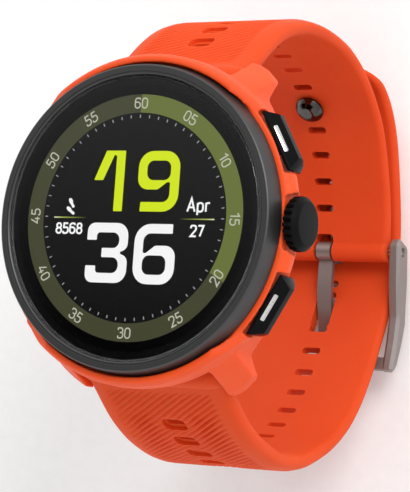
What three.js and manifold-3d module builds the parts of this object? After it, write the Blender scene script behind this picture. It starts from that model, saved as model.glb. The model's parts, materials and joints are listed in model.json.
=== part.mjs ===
// GPS running watch: a 46 mm case on a closed 22 mm silicone strap with a pin buckle.
// Millimetres. +X is 3 o'clock, the crown's side, +Y is 12 o'clock and +Z points out of the dial.
// The origin is on the dial's axis, on the flat of the sensor window that rests on the wrist.
import * as THREE from "three";
import { mergeVertices } from "three/addons/utils/BufferGeometryUtils.js";
import Module from "manifold-3d";

const wasm = await Module();
wasm.setup();

// ---- driving dimensions -------------------------------------------------------------------
const CASE_RADIUS = 23; // the polymer case is 46 mm across
const CASE_BORE = { upper: 18.8, lower: 16.5, step: 5.1 }; // cavity radii, and where it narrows
const RIM_TOP = 7.15; // the case's rim, where the bezel lands
const SHOULDER_TOP = 8.7; // the rim is raised at 12 and 6 o'clock
const SHOULDER_REACH = { level: 12.7, foot: 16.6 }; // how far from 12 o'clock it stays level, and where it ends
const BACK_TOP = 1.85;
const BACK_RADIUS = 17;

const CRYSTAL = { top: 10.08, bottom: 9.48, radius: 19.5 };
const BEZEL = { top: 10.25, bottom: 7.25, window: 19.64, topRadius: 20.84, footRadius: 21.5, ledge: 9.26 };
const SENSOR_RADIUS = 9;

const STRAP = { width: 22, lugThick: 2.7, buckleThick: 2.0, tailThick: 2.1, tipThick: 1.0 };
const SLOT = { length: 3.1, width: 1.35 };
const UPPER_SLOTS = { first: 9.3, pitch: 4.36, count: 14 }; // measured along the strap from its lug bar
const LOWER_SLOTS = { first: 9.8, pitch: 4.15, count: 24 };
const LUG_BAR = { y: 20.3, z: 0.9, radius: 0.75, reach: 12.6 };
const STRAP_POCKET = { halfWidth: 11.25, wall: 18.0, ceiling: 4.6 };
const LEVER = { x: 6, size: 1.2, height: 1.3, travel: 1.2 };

const CROWN = { radius: 3.75, z: 4.9, inner: 21.95, outer: 24.4, floor: 21.6 };
const STEM_RADIUS = 0.8;
const BUTTON = { angle: 29.5, z: 4.9, inner: 22.1, outer: 23.8, floor: 21.6, length: 9.1, height: 3.4, slope: 1.3 };

const BUCKLE_BAR = { y: 2.3, z: -50.6, radius: 0.7, reach: 13.0 };
const BUCKLE_ARM = { inner: 11.4, outer: 13.3 };
const TONGUE_WIDTH = 2.4;
const STUD = { slot: 9, dome: 2.25, shaft: 0.65, reach: 5.2 };

const ROUND = 48; // sides on the case and the pieces seen at the front
const INNER_ROUND = 32; // sides on the large pieces inside the case and on its back
const SMALL_ROUND = 16; // sides on pins, screws and stems

const SCREW_PLACES = [[10.8, 10.8], [-10.8, 10.8], [-10.8, -10.8], [10.8, -10.8]];
const CONTACT_X = [-4.5, -1.5, 1.5, 4.5];
const CONTACT_Y = -13.2;
const HAPTIC = { y: -13.5, z: 5.3 };
const LED_PLACES = [[0, 3.6], [3.1, -1.8], [-3.1, -1.8]];
const DIODE_PLACES = [[0, -4.6], [0, 0]];

// Centre lines of the strap halves in the YZ plane, from the lug bar to the free end.
const UPPER_PATH = [
  [20.3, 0.9], [23.3, -2.9], [26.5, -6.3], [29.9, -11.5], [31.8, -18.3], [32.0, -25.0],
  [30.9, -32.2], [28.3, -37.6], [25.7, -41.2], [21.3, -45.4], [17.2, -47.3], [13.4, -48.7],
  [9.4, -50.0], [4.7, -50.5], [2.3, -50.6],
];
const LOWER_PATH = [
  [-20.3, 0.9], [-23.4, -3.0], [-26.2, -6.0], [-29.2, -11.3], [-31.5, -18.5], [-31.7, -26.0],
  [-29.0, -34.5], [-25.6, -40.3], [-21.0, -44.6], [-16.2, -47.6], [-12.2, -49.7], [-7.6, -52.0],
  [-3.0, -53.9], [2.0, -54.6], [7.0, -54.3], [12.0, -53.2], [17.0, -51.9], [21.7, -50.2],
  [25.5, -47.5], [28.0, -44.3], [29.3, -40.5], [29.9, -38.2],
];
const TONGUE_PATH = [
  [1.2, -51.2], [-1.5, -51.0], [-4.0, -50.9], [-6.0, -51.2], [-8.2, -52.2], [-10.0, -52.8], [-12.3, -53.0],
  [-14.4, -52.8], [-16.2, -52.1],
];
const TONGUE_SLOT = { y: -7.5, length: 5.3 }; // where the tongue goes through the lower half

// ---- materials ----------------------------------------------------------------------------
function finish(color, roughness, metalness) {
  return new THREE.MeshStandardMaterial({ color, roughness, metalness });
}
const ORANGE_POLYMER = finish(0xf2552c, 0.55, 0);
const ORANGE_SILICONE = finish(0xe8502a, 0.75, 0);
const BLACK_STEEL = finish(0x2b2b2b, 0.35, 0.9);
const BLACK_POLYMER = finish(0x1c1c1e, 0.5, 0);
const GREY_STEEL = finish(0x6e6a68, 0.35, 0.9);
const BRIGHT_STEEL = finish(0xc8c8c8, 0.2, 1);
const GLASS = finish(0x0c0c0c, 0.05, 0);
const RUBBER = finish(0x161616, 0.9, 0);
const BOARD_GREEN = finish(0x1f4a34, 0.6, 0);
const GOLD = finish(0xc9a24a, 0.3, 1);
const CELL_FOIL = finish(0xb9bcc0, 0.4, 0.6);

// ---- building helpers ---------------------------------------------------------------------
// A closed geometry as a manifold-3d solid, turned face outward if its profile ran the other way.
function solid(geometry) {
  const bare = new THREE.BufferGeometry();
  bare.setAttribute("position", geometry.getAttribute("position"));
  if (geometry.index) bare.setIndex(geometry.index);
  const merged = mergeVertices(bare, 1e-4);
  const vertProperties = new Float32Array(merged.attributes.position.array);
  const faces = [];
  for (let i = 0; i < merged.index.count; i += 3) {
    const [a, b, c] = merged.index.array.slice(i, i + 3);
    if (a !== b && b !== c && a !== c) faces.push([a, b, c]);
  }
  function build(list) {
    const triVerts = new Uint32Array(list.flat());
    return new wasm.Manifold(new wasm.Mesh({ numProp: 3, vertProperties, triVerts }));
  }
  const made = build(faces);
  return made.volume() > 0 ? made : build(faces.map(([a, b, c]) => [a, c, b]));
}

// A closed profile of [radius, z] points turned about Z.
function turned(profile, sides = ROUND) {
  const points = [...profile, profile[0]].map(([r, z]) => new THREE.Vector2(r, z));
  return new THREE.LatheGeometry(points, sides).rotateX(Math.PI / 2);
}

function disc(radius, low, high, sides = ROUND) {
  return turned([[0, low], [radius, low], [radius, high], [0, high]], sides);
}

function ring(inner, outer, low, high, sides = ROUND) {
  return turned([[inner, low], [outer, low], [outer, high], [inner, high]], sides);
}

function box(x0, x1, y0, y1, z0, z1) {
  const made = new THREE.BoxGeometry(x1 - x0, y1 - y0, z1 - z0);
  return made.translate((x0 + x1) / 2, (y0 + y1) / 2, (z0 + z1) / 2);
}

// Turns a geometry made about Z so that its Z lies along a direction, with its zero at a point.
function along(geometry, direction, at) {
  const aim = new THREE.Quaternion().setFromUnitVectors(
    new THREE.Vector3(0, 0, 1), new THREE.Vector3(...direction).normalize());
  return geometry.applyQuaternion(aim).translate(...at);
}

// A geometry made about Z, laid along X at a place in the YZ plane.
function lengthwise(geometry, y, z) {
  return along(geometry, [1, 0, 0], [0, y, z]);
}

// An outline in the XY plane, raised from one z to another.
function raised(points, low, high) {
  const shape = new THREE.Shape(points.map(([x, y]) => new THREE.Vector2(x, y)));
  const made = new THREE.ExtrudeGeometry(shape, { depth: high - low, bevelEnabled: false });
  return made.translate(0, 0, low);
}

// An outline in the YZ plane, carried across from one x to another.
function carried(points, x0, x1) {
  const axes = new THREE.Matrix4().makeBasis(
    new THREE.Vector3(0, 1, 0), new THREE.Vector3(0, 0, 1), new THREE.Vector3(1, 0, 0));
  return raised(points, x0, x1).applyMatrix4(axes);
}

// An outline in the XZ plane, carried from one y to another.
function carriedAlongY(points, y0, y1) {
  const axes = new THREE.Matrix4().makeBasis(
    new THREE.Vector3(1, 0, 0), new THREE.Vector3(0, 0, 1), new THREE.Vector3(0, -1, 0));
  return raised(points, -y1, -y0).applyMatrix4(axes);
}

// A geometry made with +X as its outward direction, turned about the dial's axis.
function aimed(geometry, angle) {
  return geometry.rotateZ(THREE.MathUtils.degToRad(angle));
}

function join(...pieces) {
  return pieces.reduce((whole, piece) => whole.add(piece));
}

function cut(whole, ...tools) {
  return tools.reduce((left, tool) => left.subtract(tool), whole);
}

const watch = new THREE.Group();

function add(name, made, material) {
  const mesh = made.getMesh();
  const geometry = new THREE.BufferGeometry();
  geometry.setAttribute("position", new THREE.BufferAttribute(new Float32Array(mesh.vertProperties), 3));
  geometry.setIndex(new THREE.BufferAttribute(new Uint32Array(mesh.triVerts), 1));
  geometry.computeVertexNormals();
  const node = new THREE.Mesh(geometry, material);
  node.name = name;
  watch.add(node);
}

// ---- case ---------------------------------------------------------------------------------
// A lug is where its plan, a cone that falls away from the rim, and its view from the side overlap.
function lug(side, end) {
  const plan = [
    [11.35, 14.0], [17.6, 13.4], [15.2, 17.3], [15.2, 20.0], [14.5, 20.9], [12.4, 22.7], [11.35, 23.0]];
  const cone = turned([
    [14, -4], [25.7, -4], [25.6, -0.2], [24.8, 1.5], [23.9, 3.7], [23.0, 5.6], [22.0, RIM_TOP - 0.02],
    [14, RIM_TOP - 0.02]]);
  const profile = [[13.0, 1.4], [13.0, 7.5], [26, 7.5], [26, -1.6], [22.3, -2.2], [20.4, -1.4], [17.6, 0.8]];
  return solid(raised(plan.map(([x, y]) => [x * side, y * end]), -4, 9))
    .intersect(solid(cone))
    .intersect(solid(carried(profile.map(([y, z]) => [y * end, z]), -20, 20)));
}

// The raised rim that stands round the bezel's foot at 12 or 6 o'clock and slopes down onto the lugs.
function shoulder(end) {
  const collar = turned([
    [21.0, 6.2], [22.95, 6.2], [22.85, 7.8], [22.3, SHOULDER_TOP - 0.1], [21.5, SHOULDER_TOP], [21.68, RIM_TOP],
    [21.0, RIM_TOP]]);
  const { level, foot } = SHOULDER_REACH;
  const front = [[-foot, 6], [-foot, 6.9], [-level, 8.8], [level, 8.8], [foot, 6.9], [foot, 6]];
  return solid(collar).intersect(solid(carriedAlongY(front, Math.min(0, 26 * end), Math.max(0, 26 * end))));
}

// The seat, pocket, counterbore and stem hole of a button, as one tool.
function buttonTool(angle) {
  const half = BUTTON.length / 2 + 0.15;
  const high = BUTTON.height / 2 + 0.12;
  const stemHole = join(
    solid(disc(STEM_RADIUS + 0.15, 15, 23, SMALL_ROUND)),
    solid(disc(1.45, 20.5, 23, SMALL_ROUND)));
  const hole = stemHole.rotate([0, 90, 0]).translate([0, 0, BUTTON.z]);
  return join(
    solid(box(22.2, 26, -half, half, 1.5, 6.9)),
    solid(box(BUTTON.floor, 26, -half, half, BUTTON.z - high, BUTTON.z + high)),
    hole,
  ).rotate([0, 0, angle]);
}

function addCaseShell() {
  const profile = [
    [CASE_BORE.lower, BACK_TOP + 0.05], [CASE_BORE.lower, CASE_BORE.step], [CASE_BORE.upper, CASE_BORE.step],
    [CASE_BORE.upper, RIM_TOP], [21.9, RIM_TOP], [22.6, 6.8], [CASE_RADIUS, 5.8],
    [22.9, 4.8], [22.0, 2.9], [21.0, 1.2], [20.6, 0.9], [BACK_RADIUS + 0.1, 0.9], [BACK_RADIUS + 0.1, BACK_TOP + 0.05]];
  let shell = solid(turned(profile));
  for (const end of [1, -1]) {
    shell = join(shell, lug(1, end), lug(-1, end), shoulder(end));
    const { halfWidth, wall, ceiling } = STRAP_POCKET;
    const pocket = [[wall + 1.6, -4], [wall, 1.6], [wall, 2.4], [19, ceiling], [26, ceiling], [26, -4]];
    shell = cut(shell, solid(carried(pocket.map(([y, z]) => [y * end, z]), -halfWidth, halfWidth)));
    const barHole = lengthwise(disc(LUG_BAR.radius + 0.1, -12.8, 12.8, SMALL_ROUND), LUG_BAR.y * end, LUG_BAR.z);
    shell = cut(shell, solid(barHole), buttonTool(BUTTON.angle * end));
  }
  const cavity = join(
    solid(disc(BACK_RADIUS + 0.1, -5, BACK_TOP + 0.05)),
    solid(disc(CASE_BORE.lower, 0, RIM_TOP)),
    solid(disc(CASE_BORE.upper, CASE_BORE.step, RIM_TOP + 1)));
  const crownPocket = lengthwise(disc(CROWN.radius + 0.35, CROWN.floor, 27, 24), 0, CROWN.z);
  const tubeHole = lengthwise(disc(1.65, 15, 24, SMALL_ROUND), 0, CROWN.z);
  add("case_shell", cut(shell, cavity, solid(crownPocket), solid(tubeHole)), ORANGE_POLYMER);
}

function addFront() {
  const bezel = turned([
    [CASE_BORE.upper + 0.05, BEZEL.bottom], [BEZEL.footRadius, BEZEL.bottom], [20.94, BEZEL.top - 0.12],
    [BEZEL.topRadius, BEZEL.top], [19.76, BEZEL.top], [BEZEL.window, BEZEL.top - 0.13], [BEZEL.window, BEZEL.ledge],
    [18.2, BEZEL.ledge], [18.2, BEZEL.ledge - 0.3], [CASE_BORE.upper + 0.05, BEZEL.ledge - 0.3]]);
  add("bezel_ring", solid(bezel), BLACK_STEEL);
  const glass = turned([
    [0, CRYSTAL.bottom], [CRYSTAL.radius, CRYSTAL.bottom], [CRYSTAL.radius, CRYSTAL.top - 0.14],
    [CRYSTAL.radius - 0.14, CRYSTAL.top], [0, CRYSTAL.top]]);
  add("crystal", solid(glass), GLASS);
  add("crystal_gasket", solid(ring(18.3, 19.3, BEZEL.ledge + 0.03, CRYSTAL.bottom - 0.03, INNER_ROUND)), RUBBER);
  add("display_panel", solid(disc(17.8, 8.5, CRYSTAL.bottom - 0.04, INNER_ROUND)), BLACK_POLYMER);
  add("gnss_antenna_ring", solid(ring(17.95, 18.6, 7.3, 8.85, INNER_ROUND)), GOLD);
}

function addBack() {
  let cover = solid(turned([
    [SENSOR_RADIUS + 0.1, 0.55], [16.0, 0.7], [BACK_RADIUS, 0.9], [BACK_RADIUS, 1.6], [16.5, 1.6],
    [16.2, BACK_TOP], [SENSOR_RADIUS + 0.1, BACK_TOP]], INNER_ROUND));
  for (const [x, y] of SCREW_PLACES) {
    const shankHole = solid(disc(0.78, 0, 3, SMALL_ROUND));
    const headHole = solid(disc(1.4, -1, 1.2, SMALL_ROUND));
    cover = cut(cover, join(shankHole, headHole).translate([x, y, 0]));
  }
  for (const x of CONTACT_X) {
    cover = cut(cover, solid(disc(0.8, -1, 3, SMALL_ROUND)).translate([x, CONTACT_Y, 0]));
  }
  add("case_back", cover, BLACK_POLYMER);
  add("case_back_seal", solid(ring(16.55, BACK_RADIUS, 1.64, BACK_TOP, INNER_ROUND)), RUBBER);
  const lens = turned([
    [0, 0], [6.4, 0], [8.3, 0.4], [SENSOR_RADIUS, 0.6], [SENSOR_RADIUS, BACK_TOP], [8.1, BACK_TOP], [8.1, 0.9], [0, 0.9]],
    INNER_ROUND);
  add("sensor_window", solid(lens), GLASS);
  SCREW_PLACES.forEach(([x, y], i) => {
    const head = solid(disc(1.3, 0.72, 1.16, SMALL_ROUND));
    const shank = solid(disc(0.68, 1.0, 3.3, SMALL_ROUND));
    const drive = solid(box(-1.5, 1.5, -0.2, 0.2, 0.5, 0.9));
    add(`case_back_screw_${i + 1}`, cut(join(head, shank), drive).translate([x, y, 0]), BRIGHT_STEEL);
  });
  CONTACT_X.forEach((x, i) => {
    const pin = turned([[0, 0.58], [0.5, 0.58], [0.7, 0.75], [0.7, 1.95], [0, 1.95]], SMALL_ROUND);
    add(`charge_contact_${i + 1}`, solid(pin).translate([x, CONTACT_Y, 0]), GOLD);
  });
}

// The works, stacked from the case back to the display.
function addWorks() {
  add("sensor_board", solid(disc(7.9, 1.9, 2.5, 24)), BOARD_GREEN);
  LED_PLACES.forEach(([x, y], i) => {
    add(`sensor_led_${i + 1}`, solid(box(x - 0.8, x + 0.8, y - 0.8, y + 0.8, 1.0, 1.85)), BRIGHT_STEEL);
  });
  DIODE_PLACES.forEach(([x, y], i) => {
    add(`sensor_photodiode_${i + 1}`, solid(box(x - 1.2, x + 1.2, y - 0.9, y + 0.9, 1.0, 1.85)), BLACK_POLYMER);
  });
  let chassis = solid(ring(13.2, 16.3, 2.0, 3.6, INNER_ROUND));
  for (const [x, y] of SCREW_PLACES) {
    chassis = cut(chassis, solid(disc(0.78, 1, 5, SMALL_ROUND)).translate([x, y, 0]));
  }
  add("inner_chassis", chassis, BLACK_POLYMER);
  add("battery", solid(box(-9, 9, -8.5, 8.5, 2.6, 5.5)), CELL_FOIL);
  const board = cut(solid(disc(16.2, 5.75, 6.5, INNER_ROUND)), solid(box(-20, 20, -20, -11.8, 5, 7)));
  add("main_board", board, BOARD_GREEN);
  add("board_shield", solid(box(-9, 9, -8, 7, 6.55, 7.9)), BRIGHT_STEEL);
  const flex = [[9.0, 8.45], [9.0, 8.3], [12.3, 8.3], [12.3, 6.7], [10.0, 6.7], [10.0, 6.55], [12.5, 6.55], [12.5, 8.45]];
  add("display_flex", solid(carried(flex, -4, 4)), GOLD);
  add("haptic_motor", solid(lengthwise(disc(1.5, -5.5, 1.6, SMALL_ROUND), HAPTIC.y, HAPTIC.z)), BRIGHT_STEEL);
  const halfMoon = cut(solid(disc(1.4, 2, 5, SMALL_ROUND)), solid(box(-0.3, 2, -2, 2, 0, 6)));
  const weight = join(halfMoon, solid(disc(0.5, 2, 5, 8)));
  add("haptic_weight", weight.rotate([0, 90, 0]).translate([0, HAPTIC.y, HAPTIC.z]), GREY_STEEL);
}

// ---- crown and buttons --------------------------------------------------------------------
function addCrown() {
  const knob = turned([
    [0, CROWN.inner], [CROWN.radius - 0.15, CROWN.inner], [CROWN.radius, CROWN.inner + 0.2],
    [CROWN.radius, CROWN.outer - 0.8], [CROWN.radius - 0.55, CROWN.outer - 0.1], [CROWN.radius - 0.8, CROWN.outer],
    [0, CROWN.outer]], 32);
  add("crown_knob", solid(lengthwise(knob, 0, CROWN.z)), BLACK_POLYMER);
  const stem = turned([
    [0, 16.7], [STEM_RADIUS, 16.7], [STEM_RADIUS, 19.0], [0.5, 19.0], [0.5, 19.6], [STEM_RADIUS, 19.6],
    [STEM_RADIUS, CROWN.inner - 0.03], [0, CROWN.inner - 0.03]], SMALL_ROUND);
  add("crown_stem", solid(lengthwise(stem, 0, CROWN.z)), BRIGHT_STEEL);
  add("crown_seal", solid(lengthwise(ring(0.53, 0.86, 19.05, 19.55, SMALL_ROUND), 0, CROWN.z)), RUBBER);
  add("crown_clip", solid(lengthwise(ring(0.85, 1.4, 16.85, 17.15, SMALL_ROUND), 0, CROWN.z)), BRIGHT_STEEL);
  add("crown_tube", solid(lengthwise(ring(0.92, 1.55, 17.25, 21.5, SMALL_ROUND), 0, CROWN.z)), BRIGHT_STEEL);
  add("crown_switch", solid(box(13.0, 16.1, -2, 2, 3.7, 5.65)), BLACK_POLYMER);
}

function addButton(name, end) {
  const angle = BUTTON.angle * end;
  const half = BUTTON.height / 2;
  const { inner, outer, z, length } = BUTTON;
  const section = [
    [inner, z - half], [outer - 0.8, z - half], [outer, z - half + 0.8], [outer, z + half - BUTTON.slope],
    [outer - BUTTON.slope, z + half], [inner, z + half]];
  const plan = [
    [inner, -length / 2], [inner + 0.3, -length / 2], [outer, -length / 2 + 1.15], [outer, length / 2 - 1.15],
    [inner + 0.3, length / 2], [inner, length / 2]];
  const cap = solid(carriedAlongY(section, -10, 10)).intersect(solid(raised(plan, 0, 10)));
  add(`${name}_button_cap`, cap.rotate([0, 0, angle]), BLACK_POLYMER);
  const slope = [
    [outer - 1.1, z + half - 0.15], [outer - 0.66, z + half - 0.59], [outer - 0.56, z + half - 0.49],
    [outer - 1.0, z + half - 0.05]];
  add(`${name}_button_inlay`, solid(aimed(carriedAlongY(slope, -2, 2), angle)), BRIGHT_STEEL);
  const stem = solid(disc(STEM_RADIUS, 16.65, inner - 0.03, SMALL_ROUND)).rotate([0, 90, 0]).translate([0, 0, z]);
  add(`${name}_button_stem`, stem.rotate([0, 0, angle]), BRIGHT_STEEL);
  const seal = solid(ring(0.85, 1.4, 20.6, 21.2, SMALL_ROUND)).rotate([0, 90, 0]).translate([0, 0, z]);
  add(`${name}_button_seal`, seal.rotate([0, 0, angle]), RUBBER);
  add(`${name}_switch`, solid(aimed(box(14.0, 16.1, -1.6, 1.6, 3.7, 5.65), angle)), BLACK_POLYMER);
}

// ---- strap --------------------------------------------------------------------------------
function pathCurve(points) {
  const knots = points.map(([y, z]) => new THREE.Vector3(0, y, z));
  return new THREE.CatmullRomCurve3(knots, false, "centripetal");
}

// A place on a path with its direction and its normal, on the side that faces out (+1) or in (-1).
function station(curve, share, outward) {
  const point = curve.getPointAt(share);
  const tangent = curve.getTangentAt(share);
  const normal = new THREE.Vector3(0, -tangent.z, tangent.y).multiplyScalar(outward);
  return { point, tangent, normal };
}

// A band's side outline: out along one face and back along the other.
function bandOutline(curve, thickness, steps) {
  const faces = [1, -1].map((face) => {
    const points = [];
    for (let i = 0; i <= steps; i++) {
      const { point, normal } = station(curve, i / steps, face);
      const half = thickness(i / steps) / 2;
      points.push([point.y + normal.y * half, point.z + normal.z * half]);
    }
    return points;
  });
  return [...faces[0], ...faces[1].reverse()];
}

// A hole with clipped corners through a band, long across it and square to it.
function slotTool(curve, share, across, lengthwise_) {
  const { point, tangent, normal } = station(curve, share, 1);
  const [x, y] = [across / 2, lengthwise_ / 2];
  const clip = Math.min(x, y) * 0.55;
  const outline = [
    [clip - x, -y], [x - clip, -y], [x, clip - y], [x, y - clip], [x - clip, y], [clip - x, y], [-x, y - clip],
    [-x, clip - y]];
  const axes = new THREE.Matrix4().makeBasis(new THREE.Vector3(1, 0, 0), tangent, normal);
  const made = raised(outline, -4, 4).applyMatrix4(axes);
  return solid(made.translate(point.x, point.y, point.z));
}

function rod(radius, reach, y, z, sides = SMALL_ROUND) {
  return solid(lengthwise(disc(radius, -reach, reach, sides), y, z));
}

// One half of the strap: the band, the sleeve round its lug bar, and its row of slots.
function strapHalf(path, end, endThick, tipThick, slots, steps) {
  const curve = pathCurve(path);
  const total = curve.getLength();
  const half = STRAP.width / 2;
  const { lerp, smoothstep } = THREE.MathUtils;
  function thickness(share) {
    const band = lerp(STRAP.lugThick, endThick, Math.min(1, share * 1.6));
    return lerp(band, tipThick, smoothstep(share, 0.9, 1));
  }
  let band = solid(carried(bandOutline(curve, thickness, steps), -half, half));
  band = join(band, rod(2.0, half, LUG_BAR.y * end, LUG_BAR.z, 20));
  for (let i = 0; i < slots.count; i++) {
    const share = (slots.first + i * slots.pitch) / total;
    band = cut(band, slotTool(curve, share, SLOT.length, SLOT.width));
  }
  const bore = rod(LUG_BAR.radius + 0.1, 15, LUG_BAR.y * end, LUG_BAR.z);
  const leverRoom = box(LEVER.x - 0.8, LEVER.x + 0.8 + LEVER.travel, -1, 1, -3.5, 0).translate(
    0, LUG_BAR.y * end, LUG_BAR.z);
  return { band: cut(band, bore, solid(leverRoom)), curve, total };
}

function addStrap() {
  const upper = strapHalf(UPPER_PATH, 1, STRAP.buckleThick, STRAP.buckleThick, UPPER_SLOTS, 40);
  const barBore = rod(BUCKLE_BAR.radius + 0.1, 15, BUCKLE_BAR.y, BUCKLE_BAR.z);
  const sleeve = rod(1.6, STRAP.width / 2, BUCKLE_BAR.y, BUCKLE_BAR.z);
  const notch = solid(box(-1.6, 1.6, BUCKLE_BAR.y - 3, BUCKLE_BAR.y + 2.6, -54, -47));
  add("strap_upper", cut(join(upper.band, sleeve), barBore, notch), ORANGE_SILICONE);

  const lower = strapHalf(LOWER_PATH, -1, STRAP.tailThick, STRAP.tipThick, LOWER_SLOTS, 60);
  const tongueShare = shareAtY(lower.curve, TONGUE_SLOT.y, 0.4);
  const tongueSlot = slotTool(lower.curve, tongueShare, TONGUE_WIDTH + 0.8, TONGUE_SLOT.length);
  const studShare = (UPPER_SLOTS.first + STUD.slot * UPPER_SLOTS.pitch) / upper.total;
  const studHole = studSolid(upper.curve, studShare, solid(disc(STUD.shaft + 0.1, 1, 12, SMALL_ROUND)));
  add("strap_lower", cut(lower.band, tongueSlot, studHole), ORANGE_SILICONE);

  const { dome, shaft, reach } = STUD;
  const stud = turned([
    [0, -2.75], [dome * 0.5, -2.6], [dome * 0.85, -2.1], [dome, -1.5], [dome * 0.95, -1.2], [shaft, -1.2],
    [shaft, reach], [dome * 0.9, reach], [dome * 0.9, reach + 0.5], [0, reach + 0.5]], SMALL_ROUND);
  add("strap_stud", studSolid(upper.curve, studShare, solid(stud)), GREY_STEEL);
}

// A solid made about Z, set on a path with its Z pointing away from the wrist.
function studSolid(curve, share, made) {
  const { point, normal } = station(curve, share, 1);
  const tilt = THREE.MathUtils.radToDeg(Math.atan2(-normal.y, normal.z));
  return made.rotate([tilt, 0, 0]).translate([0, point.y, point.z]);
}

// The share of a path where it first reaches a height, looked for from a given share onwards.
function shareAtY(curve, y, from) {
  let share = from;
  while (curve.getPointAt(share).y < y) share += 0.001;
  return share;
}

function addBuckle() {
  const arm = [
    [4.5, -49.7], [3.5, -52.6], [-2.1, -53.3], [-8.9, -53.5], [-12.0, -52.7], [-15.6, -51.3], [-16.5, -50.4],
    [-16.5, -49.0], [-12.0, -50.1], [-7.7, -50.7], [-2.8, -49.7], [3.4, -49.0]];
  const farBar = [[-14.2, -50.2], [-16.4, -49.05], [-16.4, -50.7], [-14.2, -51.8]];
  const { inner, outer } = BUCKLE_ARM;
  const frame = join(
    solid(carried(arm, inner, outer)),
    solid(carried(arm, -outer, -inner)),
    solid(carried(farBar, -inner - 0.5, inner + 0.5)));
  const { y, z, radius, reach } = BUCKLE_BAR;
  add("buckle_frame", cut(frame, rod(radius + 0.05, 15, y, z)), GREY_STEEL);
  add("buckle_bar", rod(radius, reach, y, z, 12), GREY_STEEL);
  const curve = pathCurve(TONGUE_PATH);
  const blade = solid(carried(bandOutline(curve, () => 0.95, 20), -TONGUE_WIDTH / 2, TONGUE_WIDTH / 2));
  const eye = rod(1.45, TONGUE_WIDTH / 2, y, z);
  add("buckle_tongue", cut(join(blade, eye), rod(radius + 0.08, 15, y, z)), GREY_STEEL);
}

function addLugBars() {
  for (const [name, end] of [["upper", 1], ["lower", -1]]) {
    add(`lug_bar_${name}`, rod(LUG_BAR.radius, LUG_BAR.reach, LUG_BAR.y * end, LUG_BAR.z, 12), BRIGHT_STEEL);
    const knob = box(
      LEVER.x - LEVER.size / 2, LEVER.x + LEVER.size / 2, -LEVER.size / 2, LEVER.size / 2,
      -LUG_BAR.radius - LEVER.height, -LUG_BAR.radius - 0.05);
    add(`${name}_release_lever`, solid(knob).translate([0, LUG_BAR.y * end, LUG_BAR.z]), BRIGHT_STEEL);
  }
}

addCaseShell();
addFront();
addBack();
addWorks();
addCrown();
addButton("upper", 1);
addButton("lower", -1);
addStrap();
addLugBars();
addBuckle();

export default watch;
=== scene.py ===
"""The looks of a GPS running watch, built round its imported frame.

Lengths below are millimetres in the frame's own axes: +X is 3 o'clock, +Y is 12 o'clock, +Z leaves the dial.
Pieces are shaped in millimetres and scaled to the scene's metres as the last step of each.
"""

import json
import math

import bmesh
import bpy
import numpy as np
from mathutils import Matrix, Vector


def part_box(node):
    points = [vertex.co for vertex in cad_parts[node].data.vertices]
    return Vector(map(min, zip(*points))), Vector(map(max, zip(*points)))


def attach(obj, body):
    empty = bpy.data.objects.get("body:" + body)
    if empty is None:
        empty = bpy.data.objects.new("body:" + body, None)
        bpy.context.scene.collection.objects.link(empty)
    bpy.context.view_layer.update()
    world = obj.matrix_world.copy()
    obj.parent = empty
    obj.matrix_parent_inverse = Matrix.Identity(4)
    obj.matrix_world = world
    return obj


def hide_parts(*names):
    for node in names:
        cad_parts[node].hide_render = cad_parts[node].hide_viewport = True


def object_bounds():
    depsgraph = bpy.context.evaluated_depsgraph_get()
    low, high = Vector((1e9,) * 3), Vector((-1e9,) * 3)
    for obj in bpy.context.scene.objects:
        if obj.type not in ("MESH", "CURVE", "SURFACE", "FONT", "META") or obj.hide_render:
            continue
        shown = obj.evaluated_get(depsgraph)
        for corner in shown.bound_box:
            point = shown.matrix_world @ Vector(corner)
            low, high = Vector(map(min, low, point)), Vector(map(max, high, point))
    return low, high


MM = 0.001
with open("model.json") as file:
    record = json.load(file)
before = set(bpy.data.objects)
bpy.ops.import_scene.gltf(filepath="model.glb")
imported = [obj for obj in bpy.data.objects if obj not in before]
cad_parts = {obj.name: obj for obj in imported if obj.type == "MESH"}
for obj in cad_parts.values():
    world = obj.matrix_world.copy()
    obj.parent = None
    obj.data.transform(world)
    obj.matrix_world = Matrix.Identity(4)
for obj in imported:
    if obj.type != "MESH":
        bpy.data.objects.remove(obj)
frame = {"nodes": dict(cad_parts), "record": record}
cad_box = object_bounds()
NODES = frame["nodes"]


def node_box(name):
    """A node's lowest and highest corners, in millimetres."""
    low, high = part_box(name)
    return [v / MM for v in low], [v / MM for v in high]


def node_middle(name):
    """The middle of a node's box, in millimetres."""
    low, high = node_box(name)
    return [(a + b) / 2 for a, b in zip(low, high)]


# ---- camera -------------------------------------------------------------------------------
CAMERA_AZIMUTH = 29.226  # degrees from the dial's axis towards 3 o'clock
CAMERA_ELEVATION = -5.230  # degrees towards 12 o'clock
CAMERA_ROLL = 4.191
CAMERA_DISTANCE = 298.23  # from the dial's plane, along the lens axis
AIM_RIGHT, AIM_UP = 9.9975, -3.9065  # how far right of and above the dial's centre the lens axis passes
DIAL_HEIGHT = 10
LENS_MM = 161.44
SENSOR_MM = 36
FAR_CLIP = 20  # metres


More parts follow.
